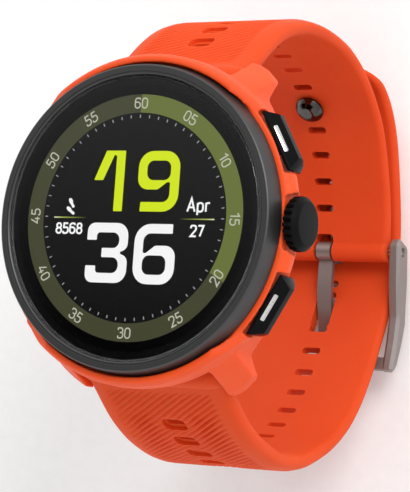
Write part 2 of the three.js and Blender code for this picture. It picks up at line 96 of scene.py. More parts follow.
def add_camera():
    """A long lens in front of the dial, to its right and a little below it."""
    a, e, r = (math.radians(v) for v in (CAMERA_AZIMUTH, CAMERA_ELEVATION, CAMERA_ROLL))
    back = Vector((math.sin(a) * math.cos(e), math.sin(e), math.cos(a) * math.cos(e)))
    right = Vector((0, 1, 0)).cross(back).normalized()
    up = back.cross(right)
    right, up = (
        math.cos(r) * right + math.sin(r) * up,
        math.cos(r) * up - math.sin(r) * right,
    )
    dial = Vector((0, 0, DIAL_HEIGHT))
    place = dial + right * AIM_RIGHT + up * AIM_UP + back * CAMERA_DISTANCE
    data = bpy.data.cameras.new("camera")
    data.sensor_fit = "VERTICAL"
    data.sensor_height = SENSOR_MM
    data.lens = LENS_MM
    data.clip_end = FAR_CLIP
    camera = bpy.data.objects.new("camera", data)
    bpy.context.scene.collection.objects.link(camera)
    turn = Matrix((right, up, back)).transposed().to_4x4()
    camera.matrix_world = Matrix.Translation(place * MM) @ turn
    bpy.context.scene.camera = camera


add_camera()


# ---- colours and nodes --------------------------------------------------------------------
def linear(hex_colour):
    """An sRGB hex colour as linear RGBA."""
    parts = [int(hex_colour[i : i + 2], 16) / 255 for i in (1, 3, 5)]
    return [c / 12.92 if c <= 0.04045 else ((c + 0.055) / 1.055) ** 2.4 for c in parts] + [1]


def add(tree, kind, links=None, **settings):
    """Adds a node: settings are its properties, and links are its inputs, as values or as other sockets."""
    node = tree.nodes.new(kind)
    for key, value in settings.items():
        setattr(node, key, value)
    for key, value in (links or {}).items():
        if isinstance(value, bpy.types.NodeSocket):
            tree.links.new(value, node.inputs[key])
        else:
            node.inputs[key].default_value = value
    return node


SHADE_STOPS = (0.3, 0.7)  # where in the grain's values each of a surface's two shades is reached
GRAIN_DETAIL, CLOUD_DETAIL = 3.0, 2.0


def blank(name):
    """A new material and its empty tree."""
    material = bpy.data.materials.new(name)
    material.use_nodes = True
    material.node_tree.nodes.clear()
    return material, material.node_tree


def speckle(tree, place, size_mm, detail):
    """Noise of a real size over a place's coordinates."""
    sockets = {"Vector": place, "Scale": 1 / (size_mm * MM), "Detail": detail}
    return add(tree, "ShaderNodeTexNoise", sockets).outputs["Fac"]


def finish_surface(tree, patch, grain, shades, rough, depth_mm, sockets):
    """Ends a tree: patch mixes the two shades, and grain drives the roughness and the relief."""
    shade = add(tree, "ShaderNodeValToRGB", {"Fac": patch})
    for stop, position, colour in zip(shade.color_ramp.elements, SHADE_STOPS, shades):
        stop.position = position
        stop.color = linear(colour)
    roughness = add(tree, "ShaderNodeMapRange", {"Value": grain, "To Min": rough[0], "To Max": rough[1]})
    relief = add(tree, "ShaderNodeBump", {"Height": grain, "Distance": depth_mm * MM})
    links = {
        "Base Color": shade.outputs["Color"],
        "Roughness": roughness.outputs["Result"],
        "Normal": relief.outputs["Normal"],
    }
    shader = add(tree, "ShaderNodeBsdfPrincipled", links)
    for socket, value in sockets.items():
        shader.inputs[socket.replace("_", " ")].default_value = value
    add(tree, "ShaderNodeOutputMaterial", {"Surface": shader.outputs["BSDF"]})


def surface(name, dark, light, rough, grain_mm, depth_mm, cloud_mm=0.0, **sockets):
    """A Principled material in two near shades.

    Its grain, of grain_mm, drives the shade, the roughness between the two values of rough, and a relief of
    depth_mm. With cloud_mm, the shade drifts over patches of that size instead. The rest are sockets set as
    they stand.
    """
    material, tree = blank(name)
    place = add(tree, "ShaderNodeTexCoord").outputs["Object"]
    grain = speckle(tree, place, grain_mm, GRAIN_DETAIL)
    patch = speckle(tree, place, cloud_mm, CLOUD_DETAIL) if cloud_mm else grain
    finish_surface(tree, patch, grain, (dark, light), rough, depth_mm, sockets)
    return material


def moulded_polyamide():
    """Glass-filled polyamide, injection moulded: bright satin orange with a very slightly pebbled skin."""
    return surface(
        "moulded_polyamide",
        "#EA4C14",
        "#EE5118",
        rough=(0.46, 0.6),
        grain_mm=0.12,
        depth_mm=0.015,
        cloud_mm=9.0,
        IOR=1.53,
        Specular_IOR_Level=0.3,
        Subsurface_Weight=0.12,
        Subsurface_Radius=(1.0, 0.3, 0.12),
        Subsurface_Scale=0.8 * MM,
    )


def moulded_silicone():
    """Liquid silicone rubber, moulded: a matte orange that is faintly translucent at thin edges."""
    return surface(
        "moulded_silicone",
        "#D9481A",
        "#DF4E1E",
        rough=(0.55, 0.7),
        grain_mm=0.25,
        depth_mm=0.01,
        cloud_mm=14.0,
        IOR=1.41,
        Specular_IOR_Level=0.22,
        Subsurface_Weight=0.25,
        Subsurface_Radius=(1.0, 0.22, 0.08),
        Subsurface_Scale=1.2 * MM,
    )


TURNING_PITCH = 0.07  # the distance between turning marks; finer ones are too fine to show


def turned_black_steel():
    """Stainless steel turned about the dial's axis and coated a hard black: fine rings, a soft grey glow."""
    material, tree = blank("turned_black_steel")
    place = add(tree, "ShaderNodeTexCoord").outputs["Object"]
    flat = add(tree, "ShaderNodeVectorMath", {0: place, 1: (1.0, 1.0, 0.0)}, operation="MULTIPLY").outputs[0]
    radius = add(tree, "ShaderNodeVectorMath", {0: flat}, operation="LENGTH").outputs["Value"]
    height = add(tree, "ShaderNodeSeparateXYZ", {"Vector": place}).outputs["Z"]
    across = add(tree, "ShaderNodeCombineXYZ", {"X": radius, "Y": height}).outputs["Vector"]
    marks = speckle(tree, across, TURNING_PITCH, CLOUD_DETAIL)
    finish_surface(tree, marks, marks, ("#464646", "#525252"), (0.34, 0.46), 0.003, {"Metallic": 0.8})
    return material


def blackened_steel():
    """The crown's steel under a matte black carbide coating, which gives back very little light."""
    return surface(
        "blackened_steel", "#0C0C0C", "#121212",
        rough=(0.4, 0.52), grain_mm=0.1, depth_mm=0.003, Specular_IOR_Level=0.06)


def blasted_gunmetal():
    """Bead-blasted steel under a grey-brown coating: soft, even reflections."""
    return surface(
        "blasted_gunmetal", "#8E8683", "#9C9491",
        rough=(0.42, 0.54), grain_mm=0.08, depth_mm=0.004, Metallic=0.7)


def polished_steel():
    """Bare stainless steel, polished: bright, with faint hairlines."""
    return surface(
        "polished_steel", "#CFCCC9", "#E2E0DE",
        rough=(0.14, 0.24), grain_mm=0.3, depth_mm=0.0005, Metallic=1.0)


def polished_gunmetal():
    """The stud's steel, polished under its dark coating: it mirrors the bright studio and the strap."""
    return surface(
        "polished_gunmetal", "#4A4846", "#55524F",
        rough=(0.08, 0.14), grain_mm=0.3, depth_mm=0.0005, Metallic=1.0)


def black_polyamide():
    """Glass-filled polyamide, moulded black with a fine spark-eroded texture that spreads highlights."""
    return surface(
        "black_polyamide", "#141416", "#1C1C1F",
        rough=(0.42, 0.56), grain_mm=0.15, depth_mm=0.006, IOR=1.53)


def gloss_black_abs():
    """ABS moulded in a polished tool: deep black, with small clear highlights along its bevels."""
    return surface(
        "gloss_black_abs", "#0B0B0C", "#111113",
        rough=(0.16, 0.24), grain_mm=0.4, depth_mm=0.001, Specular_IOR_Level=0.06)


def smoked_glass():
    """Tinted sensor glass: nearly black and polished."""
    return surface(
        "smoked_glass", "#0A0A0C", "#111114",
        rough=(0.04, 0.07), grain_mm=3.0, depth_mm=0.0, IOR=1.52)


def seal_rubber():
    """Nitrile rubber: a dull black with no clear highlight."""
    return surface(
        "seal_rubber", "#040404", "#080808",
        rough=(0.7, 0.85), grain_mm=0.2, depth_mm=0.005, Specular_IOR_Level=0.04)


def solder_mask():
    """Epoxy solder mask over copper: a slightly glossy dark green."""
    return surface(
        "solder_mask", "#153A28", "#1F4A34",
        rough=(0.3, 0.5), grain_mm=0.3, depth_mm=0.003, IOR=1.5)


def gold_plate():
    """Gold flash over nickel: warm, bright and lightly worn."""
    return surface(
        "gold_plate", "#C79B45", "#D9B262",
        rough=(0.2, 0.34), grain_mm=0.2, depth_mm=0.001, Metallic=1.0)


def cell_foil():
    """The battery's laminated aluminium pouch: pale grey and softly creased."""
    return surface(
        "cell_foil", "#A9ACB0", "#BFC2C5",
        rough=(0.3, 0.45), grain_mm=0.4, depth_mm=0.01, Metallic=0.7)


def cover_glass():
    """Chemically strengthened glass, flat and polished, that lets lamps through to the display."""
    material, tree = blank("cover_glass")
    polish = {"Base Color": linear("#FFFFFF"), "Roughness": 0.02, "IOR": 1.5, "Transmission Weight": 1.0}
    glass = add(tree, "ShaderNodeBsdfPrincipled", polish)
    clear = add(tree, "ShaderNodeBsdfTransparent")
    lamp = add(tree, "ShaderNodeLightPath").outputs["Is Shadow Ray"]
    mix = add(tree, "ShaderNodeMixShader", {0: lamp, 1: glass.outputs["BSDF"], 2: clear.outputs["BSDF"]})
    add(tree, "ShaderNodeOutputMaterial", {"Surface": mix.outputs["Shader"]})
    return material


def lit_cells(name, colour):
    """Display cells lit in one colour over a black matrix, with the faint mottle of a reflective panel."""
    return surface(
        name, "#050505", "#0A0A0A",
        rough=(0.5, 0.6), grain_mm=0.14, depth_mm=0.0, IOR=1.05,
        Emission_Color=linear(colour), Emission_Strength=1.0)


def border_ink():
    """Black ink printed under the glass's edge: a dead black, so that only the glass over it shines."""
    return surface(
        "border_ink", "#020202", "#040404",
        rough=(0.5, 0.6), grain_mm=0.2, depth_mm=0.0, IOR=1.05)


RULE_FADE = ((7.4, "#242420"), (9.2, "#6E7A2A"), (11.4, "#A9B45A"), (12.6, "#E6ECC4"))


def fading_cells():
    """The two thin rules beside the time: dark near the digits, then lime, and pale at their outer ends."""
    material = lit_cells("fading_cells", "#FFFFFF")
    tree = material.node_tree
    place = add(tree, "ShaderNodeTexCoord").outputs["Object"]
    side = add(tree, "ShaderNodeSeparateXYZ", {"Vector": place}).outputs["X"]
    reach = add(tree, "ShaderNodeMath", {0: side}, operation="ABSOLUTE").outputs["Value"]
    first, last = RULE_FADE[0][0], RULE_FADE[-1][0]
    ends = {"Value": reach, "From Min": first * MM, "From Max": last * MM}
    share = add(tree, "ShaderNodeMapRange", ends).outputs["Result"]
    fade = add(tree, "ShaderNodeValToRGB", {"Fac": share})
    stops = fade.color_ramp.elements
    while len(stops) < len(RULE_FADE):
        stops.new(0.5)
    for stop, (place_mm, colour) in zip(stops, RULE_FADE):
        stop.position = (place_mm - first) / (last - first)
        stop.color = linear(colour)
    shader = next(node for node in tree.nodes if node.type == "BSDF_PRINCIPLED")
    tree.links.new(fade.outputs["Color"], shader.inputs["Emission Color"])
    return material


MATERIALS = {
    "case_polymer": moulded_polyamide(),
    "strap_silicone": moulded_silicone(),
    "black_steel": turned_black_steel(),
    "gunmetal_steel": blasted_gunmetal(),
    "bright_steel": polished_steel(),
    "black_polymer": black_polyamide(),
    "gloss_black": gloss_black_abs(),
    "crystal_glass": cover_glass(),
    "sensor_glass": smoked_glass(),
    "seal_rubber": seal_rubber(),
    "circuit_board": solder_mask(),
    "gold_contact": gold_plate(),
    "cell_foil": cell_foil(),
}


def paint_nodes():
    """Gives every carried-over CAD node the finish of its slot."""
    for row in frame["record"]["subparts"]:
        for held in NODES[row["node"]].material_slots:
            held.material = MATERIALS[row["material_slot"]]


paint_nodes()


# ---- shaping, in millimetres --------------------------------------------------------------
ARC_ROOM = 0.49  # the most of an edge's length that the arc at one of its ends may take
STRAIGHT = 0.02  # radians; a corner that turns less than this stays a point
ON_AXIS = 1e-6


def rounded(corners, steps=6):
    """An outline from (x, y, radius) corners, each an arc of that radius where its edges have room."""
    outline = []
    for i, (x, y, radius) in enumerate(corners):
        here = np.array([x, y], float)
        if radius == 0:
            outline.append(here)
            continue
        before = np.array(corners[i - 1][:2], float) - here
        after = np.array(corners[(i + 1) % len(corners)][:2], float) - here
        room = ARC_ROOM * min(np.linalg.norm(before), np.linalg.norm(after))
        before /= np.linalg.norm(before)
        after /= np.linalg.norm(after)
        bend = math.acos(max(-1.0, min(1.0, before @ after)))
        reach = min(radius / math.tan(bend / 2), room)
        middle = here + (before + after) / np.linalg.norm(before + after) * reach / math.cos(bend / 2)
        start = here + before * reach - middle
        end = here + after * reach - middle
        turn = math.pi - bend
        if turn < STRAIGHT:
            outline.append(here)
            continue
        for k in range(steps + 1):
            share = k / steps
            swung = math.sin((1 - share) * turn) * start + math.sin(share * turn) * end
            outline.append(middle + swung / math.sin(turn))
    return outline


def shape(points, faces):
    """A closed mesh object, its faces turned outwards."""
    mesh = bpy.data.meshes.new("shape")
    mesh.from_pydata([tuple(float(v) for v in point) for point in points], [], faces)
    tidy = bmesh.new()
    tidy.from_mesh(mesh)
    bmesh.ops.recalc_face_normals(tidy, faces=tidy.faces)
    tidy.to_mesh(mesh)
    tidy.free()
    made = bpy.data.objects.new("shape", mesh)
    bpy.context.scene.collection.objects.link(made)
    return made


WIDE_SIDES, BACK_SIDES, CASE_SIDES, SMALL_SIDES = 320, 224, 192, 48  # facets round a turned shape


def turned(profile, sides=CASE_SIDES):
    """A solid turned about Z from a profile of (radius, height) points."""
    points, faces, rows = [], [], []
    angles = [2 * math.pi * i / sides for i in range(sides)]
    for radius, height in profile:
        if radius < ON_AXIS:
            rows.append([len(points)] * sides)
            points.append((0, 0, height))
        else:
            rows.append(list(range(len(points), len(points) + sides)))
            points += [(radius * math.cos(a), radius * math.sin(a), height) for a in angles]
    for row, above in zip(rows, rows[1:] + rows[:1]):
        for i in range(sides):
            j = (i + 1) % sides
            corners = list(dict.fromkeys((row[i], row[j], above[j], above[i])))
            if len(corners) > 2:
                faces.append(corners)
    return shape(points, faces)


def oblong(length, width, corner):
    """The outline of a rectangle about the origin, with rounded corners."""
    x, y = length / 2, width / 2
    return rounded([(-x, -y, corner), (x, -y, corner), (x, y, corner), (-x, y, corner)])


def raised(outline, low, high):
    """A solid with this outline in X and Y, from one height to another."""
    count = len(outline)
    points = [(*point[:2], low) for point in outline] + [(*point[:2], high) for point in outline]
    faces = [[i, (i + 1) % count, count + (i + 1) % count, count + i] for i in range(count)]
    faces += [list(range(count)), list(range(count, 2 * count))]
    return shape(points, faces)


def placed(made, turn=None, at=(0, 0, 0)):
    """Turns a shape by a 3x3 matrix about the origin, then moves it."""
    if turn is not None:
        made.data.transform(turn.to_4x4())
    made.data.transform(Matrix.Translation(at))
    return made


# Turns that take a shape's own X, Y and Z to the frame's axes named here.
TO_YZX = Matrix(((0, 0, 1), (1, 0, 0), (0, 1, 0)))
TO_XZY = Matrix(((1, 0, 0), (0, 0, 1), (0, 1, 0)))


def carried(outline, x0, x1):
    """A solid with this outline in Y and Z, from one X to another."""
    return placed(raised(outline, x0, x1), TO_YZX)


def carried_along_y(outline, y0, y1):
    """A solid with this outline in X and Z, from one Y to another."""
    made = placed(raised(outline, y0, y1), TO_XZY)
    made.data.flip_normals()
    return made


def rod(radius, x0, x1, y, z):
    """A round bar along X."""
    made = placed(turned([(0, x0), (radius, x0), (radius, x1), (0, x1)], SMALL_SIDES), TO_YZX)
    return placed(made, at=(0, y, z))


def settle(made):
    """Makes a shape's modifiers part of its mesh."""
    seen = made.evaluated_get(bpy.context.evaluated_depsgraph_get())
    mesh = bpy.data.meshes.new_from_object(seen)
    made.modifiers.clear()
    worn = made.data
    made.data = mesh
    bpy.data.meshes.remove(worn)
    return made


def boolean(whole, operation, tools):
    """Joins, cuts or intersects a shape with each tool in turn, and uses the tools up."""
    for tool in tools:
        step = whole.modifiers.new("boolean", "BOOLEAN")
        step.object = tool
        step.operation = operation
        step.solver = "MANIFOLD"
        settle(whole)
        bpy.data.objects.remove(tool)
    return whole


def join(whole, *tools):
    return boolean(whole, "UNION", tools)


def cut(whole, *tools):
    return boolean(whole, "DIFFERENCE", tools)


def common(whole, *tools):
    return boolean(whole, "INTERSECT", tools)


def gathered(shapes):
    """Shapes that don't touch, as one object."""
    whole = bmesh.new()
    for made in shapes:
        whole.from_mesh(made.data)
        bpy.data.objects.remove(made)
    mesh = bpy.data.meshes.new("shape")
    whole.to_mesh(mesh)
    whole.free()
    made = bpy.data.objects.new("shape", mesh)
    bpy.context.scene.collection.objects.link(made)
    return made


def eased(made, width, segments=2, angle=30):
    """Bevels every edge sharper than an angle."""
    step = made.modifiers.new("ease", "BEVEL")
    step.width = width
    step.segments = segments
    step.limit_method = "ANGLE"
    step.angle_limit = math.radians(angle)
    return settle(made)


SMOOTHING = 0.5


def moulded(made, grain, passes):
    """Rounds every edge as a mould does, by rebuilding the surface in small even faces and smoothing it."""
    remesh = made.modifiers.new("remesh", "REMESH")
    remesh.mode = "VOXEL"
    remesh.voxel_size = grain
    smooth = made.modifiers.new("smooth", "SMOOTH")
    smooth.factor = SMOOTHING
    smooth.iterations = passes
    return settle(made)


def piece(made, name, body, finish, *stands_for, sharp=40):
    """Takes a shape to metres, gives it its name, finish and body, and hides the CAD nodes it stands for.

    finish is one of the record's slots, or a material made here.
    """
    made.name = name
    made.data.name = name
    made.data.transform(Matrix.Scale(MM, 4))
    made.data.materials.clear()
    made.data.materials.append(MATERIALS.get(finish, finish))
    made.data.shade_smooth()
    made.data.set_sharp_from_angle(angle=math.radians(sharp))
    if stands_for:
        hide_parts(*stands_for)
    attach(made, body)
    return made


# ---- case ---------------------------------------------------------------------------------
CASE_RADIUS = 23.0
BORE = {"lower": 16.5, "upper": 18.8, "step": 5.1}
RIM_TOP = node_box("bezel_ring")[0][2] - 0.1
SHOULDER_TOP = node_box("case_shell")[1][2]
SHOULDER_REACH = (12.7, 16.6)  # how far from 12 o'clock it stays level, and where it ends
BACK_TOP = 1.9
BACK_RADIUS = 17.1
LUG_BAR_Y, LUG_BAR_Z = node_middle("lug_bar_upper")[1:]
LUG_HOLE = {"radius": 0.85, "reach": 12.8}  # the spring bar's hole, and how far along X it goes into the lugs
POCKET_HALF_WIDTH = 11.25  # of the room between two lugs
BUTTON_ANGLE = 29.5
SEAT = {"floor": 22.2, "half_length": 4.7, "low": 1.5, "high": 6.9}  # the flat round a button
WELL = {"floor": 21.35, "half_length": 4.85, "half_height": 1.95}  # the pocket that a button sinks into
STEM_HOLE, SEAL_HOLE = 1.0, 1.45
CROWN_HOLE, CROWN_WELL = 1.65, 4.1
CROWN_Z = node_middle("crown_knob")[2]
CLEAR = 26  # past the case's edge, for cutters
CASE_GRAIN, CASE_PASSES = 0.2, 3  # how the mould's roundness is made


def lug(side, end):
    """One strap lug: its plan, under a cone that falls away from the rim, over a curved underside."""
    plan = rounded(
        [(side * x, end * y, r) for x, y, r in (
            (11.25, 14.0, 0), (17.9, 13.2, 0), (15.05, 17.3, 1.8), (15.25, 20.2, 0.9), (14.5, 20.9, 0.7),
            (12.4, 22.75, 0.6), (11.25, 23.1, 0.3))]
    )
    cone = turned(
        rounded([
            (13, -4, 0), (25.8, -4, 0), (25.6, -0.2, 0.6), (24.8, 1.5, 3), (23.9, 3.7, 3), (23.0, 5.6, 2),
            (22.0, RIM_TOP, 0.6), (13, RIM_TOP, 0)])
    )
    view = rounded(
        [(end * y, z, r) for y, z, r in (
            (13.0, 1.4, 0), (13.0, 7.5, 0), (26, 7.5, 0), (26, -1.6, 0), (22.3, -2.2, 0.5), (20.4, -1.4, 1.0),
            (17.6, 0.8, 1.0))]
    )
    return common(raised(plan, -4, 9), cone, carried(view, -20, 20))


def shoulder(end):
    """The raised rim round the bezel's foot at 12 or 6 o'clock, which slopes down onto the lugs."""
    collar = turned(
        rounded([
            (21.0, 6.2, 0), (22.95, 6.2, 0), (22.85, 7.8, 0.5), (22.35, SHOULDER_TOP - 0.05, 0.3),
            (21.55, SHOULDER_TOP, 0.1), (21.68, RIM_TOP, 0), (21.0, RIM_TOP, 0)])
    )
    level, foot = SHOULDER_REACH
    front = rounded([
        (-foot - 1, 6, 0), (-foot - 1, 6.9, 0), (-foot, 6.95, 1.5), (-level, 8.8, 2.5), (level, 8.8, 2.5),
        (foot, 6.95, 1.5), (foot + 1, 6.9, 0), (foot + 1, 6, 0)])
    return common(collar, carried_along_y(front, min(0, CLEAR * end), max(0, CLEAR * end)))


def button_room(end):
    """The flat, the pocket and the stem hole of a button, as one tool."""
    half, low, high = SEAT["half_length"], SEAT["low"], SEAT["high"]
    seat = raised([(SEAT["floor"], -half), (CLEAR, -half), (CLEAR, half), (SEAT["floor"], half)], low, high)
    half, rise = WELL["half_length"], WELL["half_height"]
    corners = [(WELL["floor"], -half), (CLEAR, -half), (CLEAR, half), (WELL["floor"], half)]
    pocket = raised(corners, CROWN_Z - rise, CROWN_Z + rise)
    stem = rod(STEM_HOLE, 15, 23, 0, CROWN_Z)
    seal = rod(SEAL_HOLE, 20.5, 23, 0, CROWN_Z)
    return placed(join(seat, pocket, stem, seal), Matrix.Rotation(math.radians(BUTTON_ANGLE * end), 3, "Z"))


def add_case():
    """The case's one moulding: barrel, lugs, shoulders, strap pockets, and rooms for crown and buttons."""
    wall = turned(
        rounded([
            (BORE["lower"], BACK_TOP, 0), (BORE["lower"], BORE["step"], 0), (BORE["upper"], BORE["step"], 0),
            (BORE["upper"], RIM_TOP, 0), (21.95, RIM_TOP, 0.3), (22.7, 6.75, 0.6), (CASE_RADIUS, 5.8, 0.9),
            (22.9, 4.8, 1.5), (22.0, 2.9, 2.0), (21.0, 1.2, 1.0), (20.6, 0.9, 0.3), (BACK_RADIUS, 0.9, 0),
            (BACK_RADIUS, BACK_TOP, 0)])
    )
    for end in (1, -1):
        wall = join(wall, lug(1, end), lug(-1, end), shoulder(end))
    for end in (1, -1):
        pocket = rounded([
            (19.6 * end, -4, 0), (18.0 * end, 1.6, 0.6), (18.0 * end, 2.6, 0.6), (19.0 * end, 4.6, 0.6),
            (CLEAR * end, 4.6, 0), (CLEAR * end, -4, 0)])
        wall = cut(
            wall,
            carried(pocket, -POCKET_HALF_WIDTH, POCKET_HALF_WIDTH),
            rod(LUG_HOLE["radius"], -LUG_HOLE["reach"], LUG_HOLE["reach"], LUG_BAR_Y * end, LUG_BAR_Z),
            button_room(end),
        )
    wall = cut(
        wall,
        turned([(0, -5), (BACK_RADIUS, -5), (BACK_RADIUS, BACK_TOP), (0, BACK_TOP)]),
        turned([(0, 0), (BORE["lower"], 0), (BORE["lower"], RIM_TOP), (0, RIM_TOP)]),
        turned([(0, BORE["step"]), (BORE["upper"], BORE["step"]), (BORE["upper"], 9), (0, 9)]),
        rod(CROWN_WELL, 21.6, 27, 0, CROWN_Z),
        rod(CROWN_HOLE, 15, 24, 0, CROWN_Z),
    )
    wall = moulded(wall, CASE_GRAIN, CASE_PASSES)
    return piece(wall, "case_moulding", "case", "case_polymer", "case_shell", sharp=180)


# ---- bezel and glass ----------------------------------------------------------------------
BEZEL_LOW, BEZEL_TOP = node_box("bezel_ring")[0][2], node_box("bezel_ring")[1][2]
GLASS_LOW, GLASS_TOP = node_box("crystal")[0][2], node_box("crystal")[1][2]
GLASS_RADIUS = node_box("crystal")[1][0]
LEDGE = 9.26  # the height that the glass rests at
GROOVE_RADIUS = 19.98  # of the fine groove round the bezel's top


def add_bezel():
    """The turned ring round the glass: a flat top with a fine groove inside it, and a sloping wall."""
    groove = GROOVE_RADIUS
    ring = turned(
        rounded([
            (18.85, BEZEL_LOW, 0), (21.5, BEZEL_LOW, 0.1), (21.3, 8.2, 1.0), (20.98, BEZEL_TOP - 0.16, 0.1),
            (20.8, BEZEL_TOP, 0.06), (20.7, BEZEL_TOP, 0), (groove + 0.14, BEZEL_TOP, 0),
            (groove + 0.08, BEZEL_TOP, 0.02), (groove + 0.05, BEZEL_TOP - 0.09, 0),
            (groove - 0.05, BEZEL_TOP - 0.09, 0), (groove - 0.08, BEZEL_TOP - 0.02, 0.02),
            (19.78, BEZEL_TOP - 0.03, 0.03), (19.64, BEZEL_TOP - 0.16, 0.02), (19.64, LEDGE, 0),
            (18.2, LEDGE, 0), (18.2, LEDGE - 0.3, 0), (18.85, LEDGE - 0.3, 0)], steps=4),
        sides=WIDE_SIDES,
    )
    return piece(ring, "bezel", "case", "black_steel", "bezel_ring", sharp=30)


def add_crystal():
    """The flat glass, with its edge ground to a narrow polished slope."""
    disc = turned(
        rounded([
            (0, GLASS_LOW, 0), (GLASS_RADIUS - 0.3, GLASS_LOW, 0), (GLASS_RADIUS, GLASS_LOW, 0.05),
            (GLASS_RADIUS, GLASS_TOP - 0.16, 0.03), (GLASS_RADIUS - 0.16, GLASS_TOP, 0.03),
            (GLASS_RADIUS - 0.3, GLASS_TOP, 0), (0, GLASS_TOP, 0)], steps=3),
        sides=WIDE_SIDES,
    )
    return piece(disc, "cover_glass", "case", "crystal_glass", "crystal", sharp=30)


# ---- what the display shows ---------------------------------------------------------------
PANEL_TOP = 9.3
RING_LEVEL = (PANEL_TOP - 0.02, PANEL_TOP + 0.02)
PRINT_LEVEL = (PANEL_TOP - 0.02, PANEL_TOP + 0.05)
MINUTE_RING = (14.38, 16.89)
MINUTE_TICK = (13.66, 14.08)
NUMERAL_RADIUS = 15.69
NUMERAL = {"height": 1.36, "line": 0.17}

# Each figure has a width and a list of lines through (x, y, radius) points, and is one unit tall. A line that
# ends where it starts is a loop.
FIGURES = {
    "0": (0.58, [[(0, 0, 0.29), (0.58, 0, 0.29), (0.58, 1, 0.29), (0, 1, 0.29), (0, 0, 0.29)]]),
    "1": (0.36, [[(0, 0.78, 0), (0.3, 1, 0), (0.3, 0, 0)]]),
    "2": (0.56, [[
        (0.02, 0.74, 0), (0.02, 1, 0.28), (0.56, 1, 0.28), (0.56, 0.62, 0.3), (0.02, 0, 0), (0.58, 0, 0)]]),
    "3": (0.56, [
        [(0.02, 0.78, 0), (0.02, 1, 0.26), (0.54, 1, 0.26), (0.54, 0.54, 0.22), (0.24, 0.54, 0)],
        [(0.22, 0.54, 0), (0.57, 0.54, 0.26), (0.57, 0, 0.28), (0, 0, 0.28), (0, 0.23, 0)]]),
    "4": (0.6, [[(0.36, 1, 0), (0, 0.26, 0), (0.62, 0.26, 0)], [(0.45, 0.56, 0), (0.45, 0, 0)]]),
    "5": (0.56, [[
        (0.53, 1, 0), (0.08, 1, 0), (0.04, 0.56, 0.03), (0.57, 0.63, 0.25), (0.57, 0, 0.28), (0, 0, 0.28),
        (0, 0.22, 0)]]),
    "6": (0.58, [[
        (0.55, 0.82, 0), (0.55, 1, 0.27), (0, 1, 0.29), (0, 0, 0.29), (0.58, 0, 0.29), (0.58, 0.6, 0.28),
        (0.02, 0.6, 0)]]),
    "7": (0.54, [[(0, 1, 0), (0.56, 1, 0), (0.2, 0, 0)]]),
    "8": (0.58, [
        [(0, 0, 0.27), (0.58, 0, 0.27), (0.58, 0.54, 0.27), (0, 0.54, 0.27), (0, 0, 0.27)],
        [(0.04, 0.54, 0.23), (0.54, 0.54, 0.23), (0.54, 1, 0.23), (0.04, 1, 0.23), (0.04, 0.54, 0.23)]]),
    "A": (0.66, [[(0, 0, 0), (0.33, 1, 0), (0.66, 0, 0)], [(0.13, 0.33, 0), (0.53, 0.33, 0)]]),
    "p": (0.5, [
        [(0, 0.68, 0), (0, -0.26, 0)],
        [(0, 0, 0.2), (0.48, 0, 0.24), (0.48, 0.68, 0.24), (0, 0.68, 0.2), (0, 0, 0.2)]]),
    "r": (0.34, [[(0, 0.7, 0), (0, 0, 0)], [(0, 0.36, 0), (0, 0.68, 0.26), (0.32, 0.68, 0)]]),
}
FIGURE_GAP = 0.24


def ribbon(path, line, level):
    """A flat bar of even width along a path, a loop if the path ends where it starts."""
    loop = path[0][:2] == path[-1][:2]
    middle = np.array(rounded(path[:-1] if loop else path, steps=5))
    ahead = np.roll(middle, -1, axis=0) - middle
    ahead /= np.linalg.norm(ahead, axis=1)[:, None]
    behind = np.roll(ahead, 1, axis=0)
    if not loop:
        ahead[-1] = behind[-1]
        behind[0] = ahead[0]
    bisector = ahead + behind
    bisector /= np.linalg.norm(bisector, axis=1)[:, None]
    out = np.c_[-bisector[:, 1], bisector[:, 0]] * line / 2
    out /= np.sum(bisector * ahead, axis=1)[:, None]
    low, high = level
    points = []
    for (x, y), (dx, dy) in zip(middle, out):
        left, right = (x + dx, y + dy), (x - dx, y - dy)
        points += [(*left, low), (*right, low), (*right, high), (*left, high)]
    count = len(middle)
    faces = []
    for i in range(count if loop else count - 1):
        a, b = 4 * i, 4 * ((i + 1) % count)
        faces += [[a + k, a + (k + 1) % 4, b + (k + 1) % 4, b + k] for k in range(4)]
    if not loop:
        faces += [[0, 1, 2, 3], [4 * count - 4, 4 * count - 3, 4 * count - 2, 4 * count - 1]]
    return shape(points, faces)


def lettering(text, height, line, at, turn=0.0):
    """Figures in a row, centred on a point of the dial and turned clockwise, as one shape."""
    widths = [FIGURES[figure][0] * height for figure in text]
    gap = FIGURE_GAP * height
    start = -(sum(widths) + gap * (len(text) - 1)) / 2
    made = []
    for figure, width in zip(text, widths):
        bars = []
        for path in FIGURES[figure][1]:
            corners = [(start + x * height, (y - 0.5) * height, r * height) for x, y, r in path]
            bars.append(ribbon(corners, line, PRINT_LEVEL))
        made.append(join(*bars))
        start += width + gap
    return placed(gathered(made), Matrix.Rotation(-turn, 3, "Z"), (*at, 0))


def hour_digits():
    """The 1 and the 9 of the hour."""
    one = rounded([
        (-4.87, 9.15, 0.1), (-1.84, 9.15, 0.1), (-1.84, 0.84, 0.1), (-3.19, 0.84, 0.1), (-3.19, 8.4, 0.1),
        (-3.57, 8.64, 0.15), (-5.17, 5.1, 0.1), (-6.58, 5.1, 0.1)])
    nine = rounded([
        (0.98, 0.85, 0.1), (6.83, 0.85, 2.4), (6.83, 9.1, 2.2), (0.4, 9.1, 2.2), (0.4, 3.85, 2.2),
        (3.55, 3.85, 0.8), (4.95, 4.86, 0.5), (5.45, 4.86, 0.3), (5.45, 2.14, 1.1), (1.04, 2.14, 0.1)])
    hole = rounded([(1.74, 5.12, 1.0), (5.45, 5.12, 1.0), (5.45, 7.8, 1.0), (1.74, 7.8, 1.0)])
    low, high = PRINT_LEVEL
    return gathered([raised(one, low, high), cut(raised(nine, low, high), raised(hole, low - 1, high + 1))])


